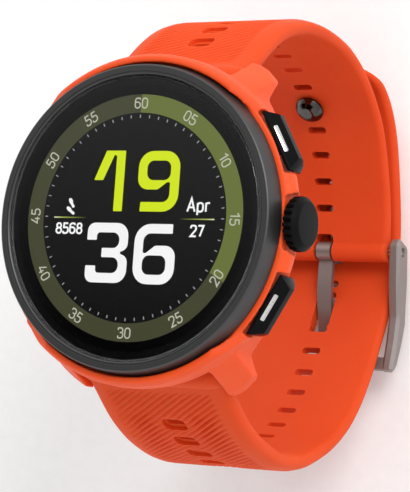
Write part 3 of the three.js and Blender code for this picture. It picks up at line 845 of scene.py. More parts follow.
def minute_digits():
    """The 3 and the 6 of the minute."""
    three = rounded([
        (-6.95, -3.13, 0.1), (-6.95, -0.78, 2.1), (-0.48, -0.78, 2.1), (-0.48, -4.35, 1.3),
        (-2.1, -4.84, 0.2), (-0.42, -5.35, 1.3), (-0.42, -8.97, 2.2), (-6.95, -8.97, 2.2),
        (-6.95, -6.66, 0.1), (-5.38, -6.66, 0.1), (-5.38, -7.64, 0.9), (-1.78, -7.64, 1.0),
        (-1.78, -5.48, 1.0), (-4.52, -5.48, 0.1), (-4.52, -4.22, 0.1), (-1.82, -4.22, 1.0),
        (-1.82, -2.09, 1.0), (-5.46, -2.09, 0.9), (-5.46, -3.13, 0.1)])
    six = rounded([
        (6.41, -0.83, 0.1), (0.59, -0.83, 2.4), (0.59, -9.0, 2.2), (7.0, -9.0, 2.2), (7.0, -3.76, 2.2),
        (3.85, -3.76, 0.8), (2.45, -4.8, 0.5), (1.95, -4.8, 0.3), (1.95, -2.11, 1.1), (6.41, -2.11, 0.1)])
    hole = rounded([(1.97, -7.71, 1.0), (5.64, -7.71, 1.0), (5.64, -5.09, 1.0), (1.97, -5.09, 1.0)])
    low, high = PRINT_LEVEL
    return gathered([raised(three, low, high), cut(raised(six, low, high), raised(hole, low - 1, high + 1))])


# Each sole: its toe, its heel, and half its width at each.
SOLES = (((-10.17, 2.3), (-9.68, 1.5), 0.29, 0.2), ((-10.43, 1.15), (-9.65, 0.54), 0.28, 0.2))
SOLE_LEFT = ((-0.28, 0.7), (0.25, 1.0), (0.62, 0.5))  # how far towards the heel, and the share of the width
SOLE_RIGHT = ((0.62, 0.75), (0.25, 1.0), (-0.28, 0.7))
SOLE_CORNER, HEEL_CORNER, HEEL_LENGTH = 0.35, 0.2, 0.3


def step_mark():
    """Two shoe soles, one above the other: the sign for steps."""
    soles = []
    for toe, heel, toe_size, heel_size in SOLES:
        toe, heel = np.array(toe), np.array(heel)
        way = heel - toe
        side = np.array([-way[1], way[0]]) / np.linalg.norm(way)
        end = heel + way * HEEL_LENGTH
        left = [(*(toe + way * share + side * toe_size * size), SOLE_CORNER) for share, size in SOLE_LEFT]
        right = [(*(toe + way * share - side * toe_size * size), SOLE_CORNER) for share, size in SOLE_RIGHT]
        back = [(*(end + side * heel_size), HEEL_CORNER), (*(end - side * heel_size), HEEL_CORNER)]
        soles.append(raised(rounded(left + back + right), *PRINT_LEVEL))
    return gathered(soles)


MINUTE_TURN = 6  # degrees
RING_STEPS = 4  # points for each minute


def ring_sector(first_minute, last_minute):
    """A stretch of the minute ring, clockwise between two minutes."""
    inner, outer = MINUTE_RING
    start, end = (90 - MINUTE_TURN * minute for minute in (first_minute, last_minute))
    turns = np.radians(np.linspace(start, end, RING_STEPS * (last_minute - first_minute)))
    edge = [(outer * math.cos(t), outer * math.sin(t)) for t in turns]
    edge += [(inner * math.cos(t), inner * math.sin(t)) for t in turns[::-1]]
    return raised(edge, *RING_LEVEL)


def add_display():
    """The panel under the glass and everything it shows."""
    panel = turned(
        rounded([
            (0, 8.5, 0), (17.8, 8.5, 0), (17.8, PANEL_TOP, 0.02), (17.6, PANEL_TOP, 0), (0, PANEL_TOP, 0)])
    )
    piece(panel, "display_face", "case", lit_cells("dark_cells", "#0C0C0C"), "display_panel")
    low, high = PANEL_TOP + 0.03, GLASS_LOW - 0.04
    border = turned([(16.96, low), (18.27, low), (18.27, high), (16.96, high)], WIDE_SIDES)
    piece(border, "glass_border_ink", "case", border_ink())
    piece(ring_sector(0, 20), "minute_ring_lit", "case", lit_cells("olive_cells", "#6A753A"))
    piece(ring_sector(20, 60), "minute_ring_dim", "case", lit_cells("dull_olive_cells", "#454731"))
    ticks = []
    numerals = []
    for minute in range(60):
        turn = math.radians(MINUTE_TURN * minute)
        way = np.array([math.sin(turn), math.cos(turn)])
        ends = [(*(way * radius), 0) for radius in MINUTE_TICK]
        ticks.append(ribbon(ends, 0.11, PRINT_LEVEL))
        if minute % 5 == 0:
            label = f"{minute or 60:02d}"
            upright = turn + math.pi if 15 < minute < 45 else turn
            centre = way * NUMERAL_RADIUS
            numerals.append(lettering(label, NUMERAL["height"], NUMERAL["line"], centre, upright))
    piece(gathered(ticks), "minute_ticks", "case", lit_cells("tick_cells", "#A6A6AE"))
    piece(gathered(numerals), "minute_numerals", "case", lit_cells("numeral_cells", "#C2C3B0"))
    piece(hour_digits(), "hour_digits", "case", lit_cells("lime_cells", "#D8EC1C"))
    white = lit_cells("white_cells", "#FDFDFD")
    piece(minute_digits(), "minute_digits", "case", white)
    piece(lettering("8568", 1.36, 0.25, (-10.05, -1.61)), "step_count", "case", white)
    piece(lettering("Apr", 1.72, 0.25, (10.1, 1.78)), "month_name", "case", white)
    piece(lettering("27", 1.42, 0.25, (10.1, -1.68)), "day_number", "case", white)
    piece(step_mark(), "step_mark", "case", white)
    rules = [ribbon([(side * 7.4, -0.1, 0), (side * 12.6, -0.1, 0)], 0.16, PRINT_LEVEL) for side in (1, -1)]
    piece(gathered(rules), "time_rules", "case", fading_cells())


# ---- crown and buttons --------------------------------------------------------------------
CROWN_RADIUS = node_box("crown_knob")[1][1]
CROWN_IN, CROWN_OUT = node_box("crown_knob")[0][0], node_box("crown_knob")[1][0]
CROWN_FLUTES = 22
FLUTE_DEPTH = 0.5
FLUTE_INNER, FLUTE_FADE = 2.6, 0.6  # the flutes start at this radius and reach full depth past this far
FLUTE_LENGTH, FLUTE_END = 1.45, 0.3
SIDES_PER_FLUTE = 12


def add_crown():
    """The knob: fluted behind, smooth in front, with a gently domed face."""
    profile = rounded([
        (0, CROWN_IN, 0), (3.2, CROWN_IN, 0.1), (CROWN_RADIUS - 0.12, CROWN_IN + 0.35, 0.3),
        (CROWN_RADIUS, CROWN_IN + 1.2, 0.3), (CROWN_RADIUS - 0.1, CROWN_OUT - 0.75, 0.4),
        (CROWN_RADIUS - 0.75, CROWN_OUT - 0.12, 0.5), (0, CROWN_OUT, 0)], steps=8)
    knob = turned(profile, CROWN_FLUTES * SIDES_PER_FLUTE)
    for vertex in knob.data.vertices:
        x, y, z = vertex.co
        radius = math.hypot(x, y)
        if radius > FLUTE_INNER:
            turn = math.atan2(y, x)
            crest = 0.5 + 0.5 * math.cos(CROWN_FLUTES * turn)
            run = min(1.0, max(0.0, (CROWN_IN + FLUTE_LENGTH - z) / FLUTE_END))
            run *= min(1.0, (radius - FLUTE_INNER) / FLUTE_FADE)
            shrink = 1 - FLUTE_DEPTH * run * (1 - crest) ** 1.5 / radius
            vertex.co = (x * shrink, y * shrink, z)
    knob = placed(knob, TO_YZX, (0, 0, CROWN_Z))
    return piece(knob, "crown", "crown", blackened_steel(), "crown_knob", sharp=50)


BUTTON_IN, BUTTON_OUT = 22.1, 23.8
BUTTON_HALF = {"length": 4.55, "height": 1.7}
BUTTON_SLOPE = 1.3
INLAY = {"length": 4.0, "width": 0.62, "corner": 0.2, "root": -0.15, "lift": 0.06}
INLAY_DROP = 0.88  # the bar's middle is this far in from the button's face and this far up its slope
END_SLOPE = 1.15  # how much shorter the button's face is than its foot, at each end


def add_button(name, end):
    """A long faceted pusher with a bright bar let into the slope that faces the dial."""
    low, high = CROWN_Z - BUTTON_HALF["height"], CROWN_Z + BUTTON_HALF["height"]
    reach = BUTTON_HALF["length"]
    section = rounded([
        (BUTTON_IN, low, 0), (BUTTON_OUT - 0.7, low, 0.3), (BUTTON_OUT, low + 0.8, 0.5),
        (BUTTON_OUT, high - BUTTON_SLOPE, 0.15), (BUTTON_OUT - BUTTON_SLOPE, high, 0.12),
        (BUTTON_IN, high, 0)])
    plan = rounded([
        (BUTTON_IN, -reach, 0), (BUTTON_IN + 0.3, -reach, 0.1), (BUTTON_OUT, END_SLOPE - reach, 0.2),
        (BUTTON_OUT, reach - END_SLOPE, 0.2), (BUTTON_IN + 0.3, reach, 0.1), (BUTTON_IN, reach, 0)])
    turn = Matrix.Rotation(math.radians(BUTTON_ANGLE * end), 3, "Z")
    cap = common(carried_along_y(section, -10, 10), raised(plan, 0, 10))
    slope = Vector((1, 0, 1)).normalized()
    along = Vector((0, 1, 0))
    across = along.cross(slope)
    lean = Matrix((along, across, slope)).transposed()
    middle = Vector((BUTTON_OUT - INLAY_DROP, 0, high - BUTTON_SLOPE + INLAY_DROP))
    outline = oblong(INLAY["length"], INLAY["width"], INLAY["corner"])
    bar = placed(eased(raised(outline, INLAY["root"], INLAY["lift"]), 0.03), lean, middle)
    cap = eased(cap, 0.07, angle=25)
    piece(placed(cap, turn), f"{name}_pusher", f"{name}_button", "gloss_black", f"{name}_button_cap")
    piece(placed(bar, turn), f"{name}_pusher_bar", f"{name}_button", "bright_steel", f"{name}_button_inlay")


# ---- strap --------------------------------------------------------------------------------
# Centre lines in Y and Z, from the lug bar to the free end, as in the part's own source.
UPPER_LINE = [
    (20.3, 0.9), (23.3, -2.9), (26.5, -6.3), (29.9, -11.5), (31.8, -18.3), (32.0, -25.0), (30.9, -32.2),
    (28.3, -37.6), (25.7, -41.2), (21.3, -45.4), (17.2, -47.3), (13.4, -48.7), (9.4, -50.0), (4.7, -50.5),
    (2.3, -50.6)]
LOWER_LINE = [
    (-20.3, 0.9), (-23.4, -3.0), (-26.2, -6.0), (-29.2, -11.3), (-31.5, -18.5), (-31.7, -26.0),
    (-29.0, -34.5), (-25.6, -40.3), (-21.0, -44.6), (-16.2, -47.6), (-12.2, -49.7), (-7.6, -52.0),
    (-3.0, -53.9), (2.0, -54.6),
    (7.0, -54.3), (12.0, -53.2), (17.0, -51.9), (21.7, -50.2), (25.5, -47.5), (28.0, -44.3), (29.3, -40.5),
    (29.9, -38.2)]
LINE_STEP = 0.25
LINE_EASE = 2.2  # how far a bend in a centre line is spread to either side

STRAP_HALF_WIDTH = node_box("strap_upper")[1][0]
LUG_THICK, BUCKLE_THICK, TAIL_THICK, TIP_THICK = 2.7, 2.0, 2.1, 1.0
LUG_SLEEVE, BUCKLE_SLEEVE = 2.0, 1.6
THINNING = 1.6  # each half gets thinner from its lug over the first 1 / 1.6 of its length
EDGE_ROUND = 0.9
MARGIN = 2.5  # the smooth border outside the grooves
MARGIN_DROP = 0.42  # how far the border falls away at its edge
UPPER_SLOTS = {"first": 9.3, "pitch": 4.36, "count": 14}
LOWER_SLOTS = {"first": 9.8, "pitch": 4.15, "count": 24}
SLOT = {"length": 3.1, "width": 1.15, "corner": 0.5}
MOUTH = {"length": 3.8, "width": 2.5, "corner": 0.9, "floor": 0.5}  # the wider outer end of each slot
SCOOP = {"length": 5.0, "width": 3.7, "depth": 0.22, "power": 2.6, "flat": 0.6}
GROOVE = {"pitch": 1.0, "depth": 0.3, "first": 2.0, "fade": 1.5, "last_fade": 2}
DASH = {"near": 3.3, "far": 6.9, "depth": 0.2, "fade": 0.5}  # the stretch of each groove that is cut deeper
UPPER_GROOVE_LEAN, LOWER_GROOVE_LEAN = 0.5, -0.76  # a groove's run along the strap for each unit across
DASH_FROM = 7.5  # the long half's grooves are cut deeper in stretches from here on
LEAN_STARTS, LEAN_STOPS, SQUARE_END = 14, 26, 3  # where the grid's lean is full, starts to fade, and has gone
ROWS_PER_GROOVE = 8
HALF_STEPS, EDGE_STEPS, INNER_STEPS = 26, 9, 13  # points across half the outer face, an edge, the inside
THROUGH = 15  # past both edges of the strap, for cutters
TAIL_CORNER = 7.0
STUD_AT = UPPER_SLOTS["first"] + 9 * UPPER_SLOTS["pitch"]  # the stud takes the short half's tenth slot
BUCKLE_BAR_Y, BUCKLE_BAR_Z = 2.3, -50.6


class CentreLine:
    """A strap half's centre line, with its bends eased, running straight on past both ends."""

    def __init__(self, corners, outward):
        corners = np.array(corners, float)
        reach = np.r_[0, np.cumsum(np.linalg.norm(np.diff(corners, axis=0), axis=1))]
        even = np.linspace(0, reach[-1], int(reach[-1] / LINE_STEP) + 1)
        line = np.c_[np.interp(even, reach, corners[:, 0]), np.interp(even, reach, corners[:, 1])]
        span = int(3 * LINE_EASE / LINE_STEP)
        weights = np.exp(-0.5 * (np.arange(-span, span + 1) * LINE_STEP / LINE_EASE) ** 2)
        weights /= weights.sum()
        before = 2 * line[0] - line[span:0:-1]
        after = 2 * line[-1] - line[-2 : -span - 2 : -1]
        padded = np.vstack([before, line, after])
        self.line = np.c_[[np.convolve(padded[:, k], weights, "valid") for k in (0, 1)]].T
        self.reach = np.r_[0, np.cumsum(np.linalg.norm(np.diff(self.line, axis=0), axis=1))]
        way = np.gradient(self.line, axis=0)
        self.way = way / np.linalg.norm(way, axis=1)[:, None]
        self.length = self.reach[-1]
        self.outward = outward

    def at(self, distance):
        """The places, directions and outward normals at these distances, each as rows of Y and Z."""
        inside = np.clip(distance, 0, self.length)
        place = np.stack([np.interp(inside, self.reach, self.line[:, k]) for k in (0, 1)], axis=-1)
        way = np.stack([np.interp(inside, self.reach, self.way[:, k]) for k in (0, 1)], axis=-1)
        place = place + (distance - inside)[..., None] * way
        normal = self.outward * np.stack([-way[..., 1], way[..., 0]], axis=-1)
        return place, way, normal

    def stand(self, made, distance):
        """Sets a shape on the line at a distance: its X stays, its Y runs along and its Z points outwards."""
        place, way, normal = (v[0] for v in self.at(np.array([distance])))
        along = way * self.outward
        turn = Matrix(((1, 0, 0), (0, along[0], normal[0]), (0, along[1], normal[1])))
        return placed(made, turn, (0, *place))


UPPER = CentreLine(UPPER_LINE, 1)
LOWER = CentreLine(LOWER_LINE, -1)


def eased_step(value, start, end):
    """0 before start and 1 after end, with a smooth change between them."""
    share = np.clip((value - start) / (end - start), 0, 1)
    return share * share * (3 - 2 * share)


def strap_grid(line, half_thick, half_width, first, last, slope, slots, dash_from, last_groove):
    """A strap half's skin: grooves run across its outer face at a slant, and every slot sits in a scoop.

    first and last are its ends along the line, slope is the grooves' lean, and half_thick and half_width give
    the sizes at each distance. The grid's rows lean with the grooves, except at both ends, which stay square.
    """
    rows = np.arange(first, last, GROOVE["pitch"] / ROWS_PER_GROOVE)
    rows = np.r_[rows, last]
    flat = STRAP_HALF_WIDTH - EDGE_ROUND
    middle = np.linspace(0, 1, HALF_STEPS)
    across = np.r_[-middle[:0:-1], middle] * flat
    arc = np.radians(np.linspace(90, -90, EDGE_STEPS)[1:-1])
    count = len(across)
    inner = np.linspace(flat, -flat, INNER_STEPS)
    x = np.r_[across, flat + EDGE_ROUND * np.cos(arc), inner, -(flat + EDGE_ROUND * np.cos(arc[::-1]))]
    # How far each point is from mid-thickness, from 1 outside to -1 inside.
    rise = np.r_[np.ones(count), np.sin(arc), -np.ones(len(inner)), np.sin(arc[::-1])]
    lean = slope * eased_step(rows, first, first + LEAN_STARTS)
    lean = lean * (1 - eased_step(rows, last - LEAN_STOPS, last - SQUARE_END))
    s = rows[:, None] + lean[:, None] * x[None, :]
    s = np.clip(s, first, last)
    wide = half_width(s) / STRAP_HALF_WIDTH
    x = x[None, :] * wide
    fall = eased_step(np.abs(x), STRAP_HALF_WIDTH - MARGIN, STRAP_HALF_WIDTH - 0.1) * MARGIN_DROP
    height = half_thick(s) * rise[None, :]
    outer = np.clip(rise, 0, 1)[None, :]
    height = height - fall * outer * np.minimum(1, half_thick(s))
    phase = (s - slope * x) / GROOVE["pitch"]
    valley = (0.5 + 0.5 * np.cos(2 * np.pi * phase)) ** 2
    border = STRAP_HALF_WIDTH - MARGIN
    shown = eased_step(s, GROOVE["first"], GROOVE["first"] + GROOVE["fade"])
    shown = shown * (1 - eased_step(s, last_groove - GROOVE["last_fade"], last_groove))
    shown = shown * (1 - eased_step(np.abs(x), border - 0.9, border + 0.3))
    scoop = np.zeros_like(s)
    for k in range(slots["count"]):
        along = (s - slots["first"] - k * slots["pitch"]) / (SCOOP["width"] / 2)
        sideways = x / (SCOOP["length"] / 2)
        far = np.sqrt(np.abs(sideways) ** SCOOP["power"] + np.abs(along) ** SCOOP["power"])
        scoop = np.maximum(scoop, 1 - eased_step(far, SCOOP["flat"], 1.0))
    dash = eased_step(np.abs(x), DASH["near"], DASH["near"] + DASH["fade"])
    dash = dash * (1 - eased_step(np.abs(x), DASH["far"] - DASH["fade"], DASH["far"]))
    dash = dash * eased_step(s, dash_from, dash_from + 1)
    groove = valley * (GROOVE["depth"] + DASH["depth"] * dash)
    height = height - outer * (groove * shown * (1 - scoop) + SCOOP["depth"] * scoop)
    place, _, normal = line.at(s)
    points = np.stack([x, *(place[..., k] + normal[..., k] * height for k in (0, 1))], axis=-1)
    around = x.shape[1]
    faces = []
    for i in range(len(rows) - 1):
        for j in range(around):
            k = (j + 1) % around
            faces.append([i * around + j, i * around + k, (i + 1) * around + k, (i + 1) * around + j])
    faces += [list(range(around)), list(range((len(rows) - 1) * around, len(rows) * around))]
    return shape(points.reshape(-1, 3), faces)


def slot_tools(line, slots):
    """The cutters for a half's row of slots."""
    tools = []
    for k in range(slots["count"]):
        slot = raised(oblong(SLOT["length"], SLOT["width"], SLOT["corner"]), -3, 3)
        mouth = raised(oblong(MOUTH["length"], MOUTH["width"], MOUTH["corner"]), MOUTH["floor"], 2.5)
        tools.append(line.stand(join(slot, mouth), slots["first"] + k * slots["pitch"]))
    return gathered(tools)


def lever_room(end):
    """The notch on the wrist side of a sleeve that the spring bar's lever slides in."""
    notch = rounded([(5.2, -1, 0.3), (8.0, -1, 0.3), (8.0, 1, 0.3), (5.2, 1, 0.3)])
    return placed(raised(notch, -3.5, 0), at=(0, LUG_BAR_Y * end, LUG_BAR_Z))


def sleeve_height(distance, radius):
    """Half the thickness of a round sleeve at a distance from its axis."""
    return np.sqrt(np.maximum(radius**2 - distance**2, 0.04))


def add_strap_upper():
    """The short half, from the lug at 12 o'clock to the buckle."""
    total = UPPER.length

    def half_thick(s):
        share = np.minimum(1, s / total * THINNING)
        band = (LUG_THICK + (BUCKLE_THICK - LUG_THICK) * share) / 2
        lug_end = sleeve_height(np.minimum(s, LUG_SLEEVE), LUG_SLEEVE)
        buckle_end = sleeve_height(np.minimum(total - s, BUCKLE_SLEEVE), BUCKLE_SLEEVE)
        band = np.where((s < 0) | (s > total), 0, band)
        lug_end = lug_end * (s < LUG_SLEEVE)
        return np.maximum(band, np.maximum(lug_end, buckle_end * (s > total - BUCKLE_SLEEVE)))

    band = strap_grid(
        UPPER, half_thick, lambda s: np.full_like(s, STRAP_HALF_WIDTH), -LUG_SLEEVE, total + BUCKLE_SLEEVE,
        UPPER_GROOVE_LEAN, UPPER_SLOTS, total, total - 6)
    notch = rounded([
        (-1.6, BUCKLE_BAR_Y - 3, 0), (1.6, BUCKLE_BAR_Y - 3, 0), (1.6, BUCKLE_BAR_Y + 2.6, 0.8),
        (-1.6, BUCKLE_BAR_Y + 2.6, 0.8)])
    cut(
        band,
        slot_tools(UPPER, UPPER_SLOTS),
        rod(LUG_HOLE["radius"], -THROUGH, THROUGH, LUG_BAR_Y, LUG_BAR_Z),
        rod(0.8, -THROUGH, THROUGH, BUCKLE_BAR_Y, BUCKLE_BAR_Z),
        raised(notch, -54, -47),
        lever_room(1),
    )
    return piece(band, "strap_short_half", "case", "strap_silicone", "strap_upper", sharp=50)


TONGUE_SLOT_Y, TONGUE_SLOT_LENGTH, TONGUE_WIDTH, TONGUE_GAP = -7.5, 6.4, 2.4, 0.4


def add_strap_lower():
    """The long half, from the lug at 6 o'clock through the buckle to its round tail inside the short half."""
    total = LOWER.length

    def half_thick(s):
        share = np.minimum(1, s / total * THINNING)
        band = LUG_THICK + (TAIL_THICK - LUG_THICK) * share
        band = (band + (TIP_THICK - band) * eased_step(s / total, 0.9, 1)) / 2
        lug_end = sleeve_height(np.minimum(s, LUG_SLEEVE), LUG_SLEEVE)
        return np.maximum(np.where(s < 0, 0, band), lug_end * (s < LUG_SLEEVE))

    def half_width(s):
        into = np.clip(s - (total - TAIL_CORNER), 0, TAIL_CORNER)
        return STRAP_HALF_WIDTH - TAIL_CORNER + np.sqrt(TAIL_CORNER**2 - into**2)

    band = strap_grid(
        LOWER, half_thick, half_width, -LUG_SLEEVE, total,
        LOWER_GROOVE_LEAN, LOWER_SLOTS, DASH_FROM, total - 8)
    path = LOWER.at(LOWER.reach)[0]
    past_bend = LOWER.reach > total * 0.4
    tongue_at = LOWER.reach[np.argmax(past_bend & (path[:, 0] > TONGUE_SLOT_Y))]
    tongue_slot = raised(oblong(TONGUE_WIDTH + 2 * TONGUE_GAP, TONGUE_SLOT_LENGTH, 0.7), -4, 4)
    stud_hole = turned([(0, 1), (0.75, 1), (0.75, 12), (0, 12)], 32)
    cut(
        band,
        slot_tools(LOWER, LOWER_SLOTS),
        LOWER.stand(tongue_slot, tongue_at),
        UPPER.stand(stud_hole, STUD_AT),
        rod(LUG_HOLE["radius"], -THROUGH, THROUGH, -LUG_BAR_Y, LUG_BAR_Z),
        lever_room(-1),
    )
    return piece(band, "strap_long_half", "case", "strap_silicone", "strap_lower", sharp=50)


def add_stud():
    """The button that holds the tail down: a polished dome inside the wrist, a pin and a flat foot."""
    stud = turned(
        rounded([
            (0, -2.8, 0), (1.0, -2.75, 1.2), (1.75, -2.3, 0.6), (2.05, -1.95, 0.2), (2.25, -1.7, 0.15),
            (2.25, -1.35, 0.2), (2.1, -1.2, 0.1), (0.65, -1.2, 0), (0.65, 5.2, 0), (2.0, 5.2, 0.2),
            (2.0, 5.7, 0.25), (0, 5.7, 0)]),
        sides=96,
    )
    stud = UPPER.stand(stud, STUD_AT)
    return piece(stud, "tail_stud", "case", polished_gunmetal(), "strap_stud", sharp=35)


# ---- buckle -------------------------------------------------------------------------------
ARM_IN, ARM_OUT = 11.4, 13.3
BAR_OVERLAP = 0.6  # how far the far bar runs into each arm
PIN_RADIUS, PIN_REACH = 0.7, 13.0
TONGUE_LINE = [
    (1.2, -51.2), (-1.5, -51.0), (-4.0, -50.9), (-6.0, -51.2), (-8.2, -52.2), (-10.0, -52.8),
    (-12.3, -53.0), (-14.4, -52.8), (-16.2, -52.1)]
TONGUE_THICK = 0.95
TONGUE_STEPS = 60


def add_buckle():
    """The frame: two bent arms with broad bevels, with a bar at the far end and a pin at the near one."""
    arm = rounded([
        (4.5, -49.7, 1.3), (3.5, -52.6, 1.4), (-2.1, -53.3, 3), (-8.9, -53.5, 3), (-12.0, -52.7, 2),
        (-15.6, -51.3, 1), (-16.5, -50.4, 0.5), (-16.5, -49.0, 0.5), (-12.0, -50.1, 2), (-7.7, -50.7, 3),
        (-2.8, -49.7, 3), (3.4, -49.0, 1.0)], steps=5)
    far_bar = rounded([(-14.2, -50.2, 0.2), (-16.35, -49.1, 0.3), (-16.35, -50.7, 0.4), (-14.2, -51.8, 0.3)])
    arms = []
    for x0, x1 in ((ARM_IN, ARM_OUT), (-ARM_OUT, -ARM_IN)):
        arms.append(eased(eased(carried(arm, x0, x1), 0.5, segments=1, angle=60), 0.06, angle=25))
    bar = eased(carried(far_bar, -ARM_IN - BAR_OVERLAP, ARM_IN + BAR_OVERLAP), 0.1)
    bent_frame = join(arms[0], bar, arms[1])
    cut(bent_frame, rod(0.75, -THROUGH, THROUGH, BUCKLE_BAR_Y, BUCKLE_BAR_Z))
    piece(bent_frame, "buckle_arms", "buckle", "gunmetal_steel", "buckle_frame", sharp=20)
    profile = rounded([
        (0, -PIN_REACH, 0), (PIN_RADIUS, -PIN_REACH, 0.15), (PIN_RADIUS, PIN_REACH, 0.15), (0, PIN_REACH, 0)])
    pin = placed(turned(profile, SMALL_SIDES), TO_YZX, (0, BUCKLE_BAR_Y, BUCKLE_BAR_Z))
    piece(pin, "buckle_pin", "buckle", "bright_steel", "buckle_bar")


def add_tongue():
    """The buckle's tongue: a flat blade with eased edges, rolled round the pin."""
    line = CentreLine(TONGUE_LINE, 1)
    reach = np.linspace(0, line.length, TONGUE_STEPS)
    place, _, normal = line.at(reach)
    near = place + normal * TONGUE_THICK / 2
    far = place - normal * TONGUE_THICK / 2
    outline = [tuple(p) for p in near] + [tuple(p) for p in far[::-1]]
    half = TONGUE_WIDTH / 2
    blade = join(carried(outline, -half, half), rod(1.45, -half, half, BUCKLE_BAR_Y, BUCKLE_BAR_Z))
    blade = cut(blade, rod(0.78, -THROUGH, THROUGH, BUCKLE_BAR_Y, BUCKLE_BAR_Z))
    blade = eased(blade, 0.16, segments=3, angle=50)
    return piece(blade, "buckle_tongue_blade", "tongue", "gunmetal_steel", "buckle_tongue", sharp=30)


def add_lug_bars():
    """The spring bars of the strap and the levers that free them."""
    for name, end in (("upper", 1), ("lower", -1)):
        bar = turned(rounded([(0, -12.6, 0), (0.4, -12.6, 0.1), (0.4, -11.5, 0), (0.75, -11.3, 0.1),
                              (0.75, 11.3, 0.1), (0.4, 11.5, 0), (0.4, 12.6, 0.1), (0, 12.6, 0)]), 40)
        bar = placed(bar, TO_YZX, (0, LUG_BAR_Y * end, LUG_BAR_Z))
        piece(bar, f"spring_bar_{name}", "case", "bright_steel", f"lug_bar_{name}")
        low, high = node_box(f"{name}_release_lever")
        peg = rounded([
            (low[0], low[1], 0.25), (high[0], low[1], 0.25), (high[0], high[1], 0.25),
            (low[0], high[1], 0.25)])
        peg = eased(raised(peg, low[2], high[2]), 0.12)
        piece(peg, f"spring_bar_lever_{name}", f"{name}_lever", "bright_steel", f"{name}_release_lever")


# ---- back ---------------------------------------------------------------------------------
SCREW_PLACES = [(10.8, 10.8), (-10.8, 10.8), (-10.8, -10.8), (10.8, -10.8)]
CONTACT_PLACES = [(x, -13.2) for x in (-4.5, -1.5, 1.5, 4.5)]
SENSOR_RADIUS = 9.0
DRIVE = {"radius": 0.62, "swell": 0.11, "lobes": 6}  # the six-lobed socket in each screw's head


def six_lobes():
    """The outline of a screw's socket."""
    outline = []
    for k in range(SMALL_SIDES):
        turn = 2 * math.pi * k / SMALL_SIDES
        size = DRIVE["radius"] + DRIVE["swell"] * math.cos(DRIVE["lobes"] * turn)
        outline.append((size * math.cos(turn), size * math.sin(turn)))
    return outline


def add_back():
    """The case back with its ridge round the sensor, its four screws and the charging contacts."""
    cover = turned(
        rounded([
            (SENSOR_RADIUS + 0.1, 0.58, 0.05), (9.5, 0.42, 0.1), (10.1, 0.42, 0.3), (10.6, 0.62, 0.4),
            (14.8, 0.62, 0.2), (15.1, 0.75, 0.1), (15.35, 0.75, 0.1), (15.6, 0.66, 0.2), (16.4, 0.7, 0.3),
            (BACK_RADIUS - 0.1, 0.95, 0.2), (BACK_RADIUS - 0.1, 1.6, 0), (16.5, 1.6, 0), (16.2, 1.85, 0),
            (SENSOR_RADIUS + 0.1, 1.85, 0)]),
        sides=BACK_SIDES,
    )
    for x, y in SCREW_PLACES:
        profile = [(0, -1), (1.55, -1), (1.4, 0.72), (1.4, 1.2), (0.78, 1.2), (0.78, 3), (0, 3)]
        cut(cover, placed(turned(profile, SMALL_SIDES), at=(x, y, 0)))
    for x, y in CONTACT_PLACES:
        profile = [(0, -1), (1.0, -1), (0.8, 0.72), (0.8, 3), (0, 3)]
        cut(cover, placed(turned(profile, SMALL_SIDES), at=(x, y, 0)))
    piece(cover, "case_back_cover", "case", "black_polymer", "case_back", sharp=30)
    lens = turned(
        rounded([
            (0, 0, 0), (6.2, 0.02, 4), (8.3, 0.38, 1.5),
            (SENSOR_RADIUS, 0.62, 0.15), (SENSOR_RADIUS, 1.85, 0),
            (8.1, 1.85, 0), (8.1, 0.9, 0), (0, 0.9, 0)]),
        sides=BACK_SIDES,
    )
    piece(lens, "sensor_lens", "case", "sensor_glass", "sensor_window", sharp=30)
    for i, (x, y) in enumerate(SCREW_PLACES, 1):
        profile = rounded([
            (0, 0.76, 0), (1.0, 0.76, 0.1), (1.3, 0.86, 0.1), (1.3, 1.16, 0.05), (0.68, 1.16, 0),
            (0.68, 3.3, 0.1), (0, 3.3, 0)])
        screw = cut(turned(profile, SMALL_SIDES), raised(six_lobes(), 0.3, 1.1))
        piece(placed(screw, at=(x, y, 0)), f"back_screw_{i}", "case", "bright_steel", f"case_back_screw_{i}")
    for i, (x, y) in enumerate(CONTACT_PLACES, 1):
        profile = rounded([(0, 0.56, 0), (0.5, 0.58, 0.3), (0.72, 0.78, 0.1), (0.72, 1.95, 0), (0, 1.95, 0)])
        pad = placed(turned(profile, SMALL_SIDES), at=(x, y, 0))
        piece(pad, f"charge_pad_{i}", "case", "gold_contact", f"charge_contact_{i}")


add_case()
add_bezel()
add_crystal()
add_display()
add_crown()
for button, button_end in (("upper", 1), ("lower", -1)):
    add_button(button, button_end)
add_strap_upper()
add_strap_lower()
add_stud()
add_buckle()
add_tongue()
add_lug_bars()
add_back()

# ---- light and floor ----------------------------------------------------------------------
FLOOR_SIZE = 4000
FLOOR_GAP = 0.2  # between the strap's back and the floor
KEY_LAMP = {"place": (420, 330, 480), "size": 400, "watts": 2.4, "target": (0, 0, -20)}
FLAG_DIRECTION = (-0.52, -0.2, 0.83)  # the part of the studio that the flat glass mirrors, and a little below
FLAG_CORE, FLAG_EDGE = math.cos(math.radians(14)), math.cos(math.radians(40))
STUDIO_LOW, STUDIO_HIGH = 1.08, 1.22  # how bright the studio is beyond 6 o'clock and beyond 12 o'clock
STUDIO_LEFT, STUDIO_RIGHT = 1.3, 0.66  # and how that changes from 9 o'clock to 3 o'clock


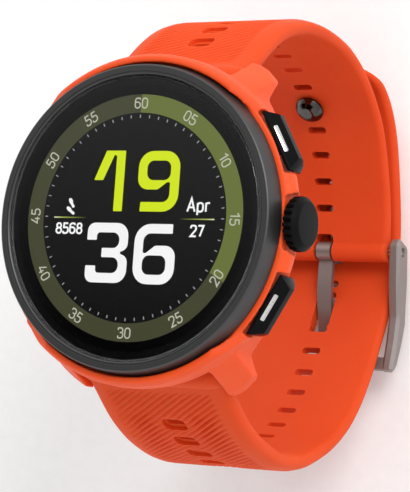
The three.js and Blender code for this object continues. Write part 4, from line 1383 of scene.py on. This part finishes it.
def add_floor():
    """A plain pale floor that the back of the closed strap rests on."""
    low = cad_box[0][2] - FLOOR_GAP * MM
    half = FLOOR_SIZE * MM / 2
    data = bpy.data.meshes.new("floor")
    corners = [(-half, -half, low), (half, -half, low), (half, half, low), (-half, half, low)]
    data.from_pydata(corners, [], [(0, 1, 2, 3)])
    floor = bpy.data.objects.new("floor", data)
    bpy.context.scene.collection.objects.link(floor)
    paper = surface("floor_paper", "#F6F6F6", "#F9F9F9", rough=(0.9, 0.95), grain_mm=2.0, depth_mm=0.0)
    data.materials.append(paper)


def add_key_lamp():
    """A round soft lamp, aimed at the watch."""
    data = bpy.data.lights.new("key", "AREA")
    data.shape = "DISK"
    data.size = KEY_LAMP["size"] * MM
    data.energy = KEY_LAMP["watts"]
    light = bpy.data.objects.new("key", data)
    bpy.context.scene.collection.objects.link(light)
    spot = Vector(KEY_LAMP["place"]) * MM
    light.location = spot
    light.rotation_euler = (Vector(KEY_LAMP["target"]) * MM - spot).to_track_quat("-Z", "Y").to_euler()


def add_lights():
    """A white studio, brightest beyond 9 and 12 o'clock, with one black flag in it, and a soft key lamp."""
    world = bpy.data.worlds.new("studio")
    world.use_nodes = True
    bpy.context.scene.world = world
    tree = world.node_tree
    sky = tree.nodes["Background"]
    sky.inputs["Color"].default_value = linear("#FFFFFF")
    way = add(tree, "ShaderNodeTexCoord").outputs["Generated"]
    parts = add(tree, "ShaderNodeSeparateXYZ", {"Vector": way}).outputs
    washes = []
    for axis, low, high in (("Y", STUDIO_LOW, STUDIO_HIGH), ("X", STUDIO_LEFT, STUDIO_RIGHT)):
        ends = {"Value": parts[axis], "From Min": -1.0, "From Max": 1.0, "To Min": low, "To Max": high}
        washes.append(add(tree, "ShaderNodeMapRange", ends).outputs["Result"])
    wash = add(tree, "ShaderNodeMath", {0: washes[0], 1: washes[1]}, operation="MULTIPLY").outputs["Value"]
    flag = tuple(Vector(FLAG_DIRECTION).normalized())
    aim = add(tree, "ShaderNodeVectorMath", {0: way, 1: flag}, operation="DOT_PRODUCT").outputs["Value"]
    ends = {"Value": aim, "From Min": FLAG_EDGE, "From Max": FLAG_CORE, "To Min": 1.0, "To Max": 0.0}
    open_share = add(tree, "ShaderNodeMapRange", ends).outputs["Result"]
    strength = add(tree, "ShaderNodeMath", {0: wash, 1: open_share}, operation="MULTIPLY").outputs["Value"]
    tree.links.new(strength, sky.inputs["Strength"])
    add_key_lamp()
    bpy.context.scene.view_settings.view_transform = "Standard"


add_floor()
add_lights()
